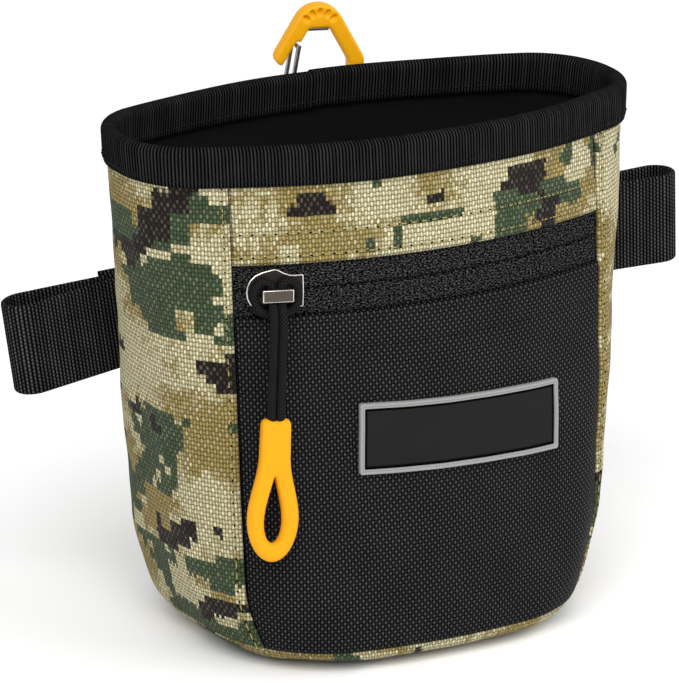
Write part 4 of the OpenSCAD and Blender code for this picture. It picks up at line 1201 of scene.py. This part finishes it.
def makeHanger():
    r, thick = web["barRadius"] + web["thick"] / 2, web["thick"]
    low = web["height"] + web["width"] / 2 + web["hangerAbove"]
    turn = math.radians(web["barTurn"])
    back = np.array([math.sin(turn), math.cos(turn), 0])
    bar = np.array([web["hangerX"], web["barY"], web["barZ"]])
    wrap = np.radians(np.linspace(0, 215, 20))
    ring = [bar - back * r * math.cos(a) + (0, 0, r * math.sin(a)) for a in wrap]
    layers = web["hangerY"] + thick / 2 + np.array([0, web["hangerLayer"]]) * thick
    front, rear = ([(web["hangerX"], y, low + h) for h in (0, 3, 6)] for y in layers)
    path = smoothRoute(np.concatenate([front, ring, rear[::-1]]), 0.6)
    twist = turn * ease((path[:, 2] - low - 4) / 8)
    across = np.column_stack([np.cos(twist), -np.sin(twist), np.zeros(len(path))])
    hanger = strap("hangerWeb", path, across, web["hangerWidth"], thick - web["hangerThin"])
    dress(hanger, "webbing", "pouch", "webbing", "hanger_loop")


hook = {"grain": 0.28, "rounds": 40, "top": 36, "grooves": 5, "fan": 24, "ring": 5.05, "wide": 0.6,
        "long": 0.95, "deep": 0.6}


def makeHook():  # the moulding, with its grip grooves pressed into the front
    moulding = mouldedCopy("hook_body", "hookMoulding", hook["grain"], hook["rounds"])
    place = (Matrix.Translation((web["hangerX"], web["barY"], web["barZ"]))
             @ Matrix.Rotation(math.radians(-web["barTurn"]), 4, "Z"))
    points = np.empty(len(moulding.data.vertices) * 3)
    moulding.data.vertices.foreach_get("co", points)
    points = moved(place.inverted(), points.reshape(-1, 3) / mm)
    x, z = points[:, 0], points[:, 2] - hook["top"]
    r, angle = np.hypot(x, z), np.degrees(np.arctan2(x, z))
    for k in range(hook["grooves"]):
        away = np.radians(angle - (k - (hook["grooves"] - 1) / 2) * hook["fan"]) * r
        near = np.hypot(away / hook["wide"], (r - hook["ring"]) / hook["long"])
        points[:, 1] += np.where(points[:, 1] < 0, hook["deep"] * ease(1.5 - near), 0)
    moulding.data.vertices.foreach_set("co", (moved(place, points) * mm).ravel())
    moulding.data.update()
    dress(moulding, "hook", "hook", "hook_plastic", "hook_body")


makeLoops()
makeBackBand()
makeHanger()
makeHook()
for node in ("hook_wear_pin", "hook_gate"):
    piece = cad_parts[node]
    piece.data.materials.clear()
    piece.data.materials.append(finishes["wire"])
print("webbing and hook made")

# stitches

thread = {"pitch": 3.0, "length": 2.4, "radius": 0.2, "lift": 0.1, "points": 90}
needleHole = {"pitch": thread["pitch"], "length": 0.8, "radius": 0.24}  # painted shade: a dark bead at the needle hole between two stitches


def stitchTree():
    tree = bpy.data.node_groups.new("stitchRow", "GeometryNodeTree")
    sockets = (("Rows", "Geometry"), ("Pitch", "Float"), ("Stitch Length", "Float"),
               ("Thread Radius", "Float"), ("Thread", "Material"))
    for name, kind in sockets:
        tree.interface.new_socket(name=name, in_out="INPUT", socket_type="NodeSocket" + kind)
    tree.interface.new_socket(name="Stitches", in_out="OUTPUT", socket_type="NodeSocketGeometry")
    given, result, spots, bead, size, halve, turn, place, real, paint = (tree.nodes.new(kind) for kind in (
        "NodeGroupInput", "NodeGroupOutput", "GeometryNodeCurveToPoints", "GeometryNodeMeshUVSphere",
        "ShaderNodeCombineXYZ", "ShaderNodeMath", "FunctionNodeAlignRotationToVector",
        "GeometryNodeInstanceOnPoints", "GeometryNodeRealizeInstances", "GeometryNodeSetMaterial"))
    spots.mode = "LENGTH"
    for name, value in (("Segments", 6), ("Rings", 5), ("Radius", 1)):
        bead.inputs[name].default_value = value
    halve.operation = "MULTIPLY"
    halve.inputs[1].default_value = 0.5
    turn.axis = "Z"
    for source, out, target, into in (
            (given, "Rows", spots, "Curve"), (given, "Pitch", spots, "Length"),
            (given, "Stitch Length", halve, 0), (given, "Thread Radius", size, 0),
            (given, "Thread Radius", size, 1), (halve, 0, size, 2), (spots, "Tangent", turn, "Vector"),
            (spots, "Points", place, "Points"), (bead, "Mesh", place, "Instance"),
            (turn, "Rotation", place, "Rotation"), (size, 0, place, "Scale"),
            (place, "Instances", real, "Geometry"), (real, "Geometry", paint, "Geometry"),
            (given, "Thread", paint, "Material"), (paint, "Geometry", result, "Stitches")):
        tree.links.new(source.outputs[out], target.inputs[into])
    return tree


def laterStart(row, distance):
    lengths = runLengths(row)
    first = [np.interp(distance, lengths, row[:, k]) for k in range(3)]
    return np.concatenate([[first], row[lengths > distance]])


def sewRows(name, rows, finish, tree, size):
    curve = bpy.data.curves.new(name + "Rows", "CURVE")
    curve.dimensions = "3D"
    for row in rows:
        spline = curve.splines.new("POLY")
        spline.points.add(len(row) - 1)
        spline.points.foreach_set("co", np.column_stack([np.asarray(row) * mm, np.ones(len(row))]).ravel())
    obj = addObject(name + "Rows", curve)
    modifier = obj.modifiers.new("stitches", "NODES")
    modifier.node_group = tree
    socket = {item.name: item.identifier for item in tree.interface.items_tree if item.in_out == "INPUT"}
    modifier[socket["Pitch"]] = size["pitch"] * mm
    modifier[socket["Stitch Length"]] = size["length"] * mm
    modifier[socket["Thread Radius"]] = size["radius"] * mm
    modifier[socket["Thread"]] = finishes[finish]
    mesh = shownMesh(obj)
    mesh.name = name
    bpy.data.objects.remove(obj)
    stitched = addObject(name, mesh)
    mesh.shade_smooth()
    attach(stitched, "pouch")
    return len(mesh.polygons)


sewn = {"frontIn": 1, "sideFrom": 7, "sideTo": 129.5, "rimHeight": 131.8, "rimOut": 0.05,
        "boxes": (-45, -10, 25), "boxLength": 20, "boxHalf": 10}


def acrossRow(z, shape):
    half = bag["frontHalf"] - sewn["frontIn"]
    s = np.linspace(-half, half, thread["points"])
    return wallPoint(s, z, shape(s, np.full(len(s), z)) + thread["lift"])


def upRow(side, offset, low, high):
    z = np.linspace(low, high, thread["points"])
    s = side * (frontSeam(z) + offset)
    return wallPoint(s, z, sideOut(s, z) + thread["lift"])


def rimRow(z, out):
    return wallPoint(np.linspace(-0.999, 0.999, 500) * halfGirth(z), z, out)


def boxRows(left, right, half, out):  # a sewn box with a cross, on the back band
    corners = [(left, -half), (right, -half), (right, half), (left, half), (left, -half)]
    lines = [np.linspace(a, b, 12) for a, b in zip(corners, corners[1:])]
    lines += [np.linspace((left, -half), (right, half), 16), np.linspace((left, half), (right, -half), 16)]
    rows = []
    for line in lines:
        b, z = line[:, 0], bandHeight(line[:, 0]) + line[:, 1]
        rows.append(wallPoint(fromBack(b, z), z, out))
    return rows


def sewBag():
    tree = stitchTree()
    gold = [acrossRow(bag["zipHigh"] + row, upperOut) for row in seams["upperRows"]]
    gold += [upRow(side, seams["sideStitch"], sewn["sideFrom"], sewn["sideTo"]) for side in (-1, 1)]
    black = [acrossRow(bag["zipLow"] - row, pocketOut) for row in seams["pocketRows"]]
    for out in (tape["outer"] + sewn["rimOut"], -tape["inner"] - sewn["rimOut"]):
        black.append(rimRow(sewn["rimHeight"], out))
    onBand = web["bandLift"] + web["thick"] + thread["lift"]
    for left in sewn["boxes"]:
        black += boxRows(left, left + sewn["boxLength"], sewn["boxHalf"], onBand)
    holes = [laterStart(row, thread["pitch"] / 2) for row in gold]
    count = sewRows("goldStitches", gold, "goldThread", tree, thread)
    # painted shade at the needle holes, half a pitch along from the gold stitches
    count += sewRows("needleHoles", holes, "paintedRecessShade", tree, needleHole)
    count += sewRows("blackStitches", black, "blackThread", tree, thread)
    print("stitch faces:", count)


sewBag()

# floor and light

studio = {
    "floor": rgb(252, 252, 252), "floorSize": 30, "world": 0.65, "aim": (0, 0, 0.07),
    "lamps": (("key", (-0.9, -1.2, 1.5), 1.5, 32), ("fill", (1.3, -1.0, 0.9), 2.0, 20)),  # place, size, power
}


def makeStudio():  # in metres
    bpy.ops.mesh.primitive_plane_add(size=studio["floorSize"])
    floor = bpy.context.object
    floor.name = "studioFloor"
    paint = Finish("floorPaper", Roughness=0.9, Base_Color=studio["floor"])
    floor.data.materials.append(paint.material)
    world = bpy.data.worlds.new("studio")
    world.use_nodes = True
    world.node_tree.nodes["Background"].inputs["Color"].default_value = (1, 1, 1, 1)
    world.node_tree.nodes["Background"].inputs["Strength"].default_value = studio["world"]
    bpy.context.scene.world = world
    for name, place, size, power in studio["lamps"]:
        lamp = bpy.data.lights.new(name, "AREA")
        lamp.size, lamp.energy = size, power
        obj = addObject(name, lamp)
        obj.location = place
        obj.rotation_euler = (Vector(studio["aim"]) - Vector(place)).to_track_quat("-Z", "Y").to_euler()
    bpy.context.scene.view_settings.view_transform = "Standard"


makeStudio()
print("done")
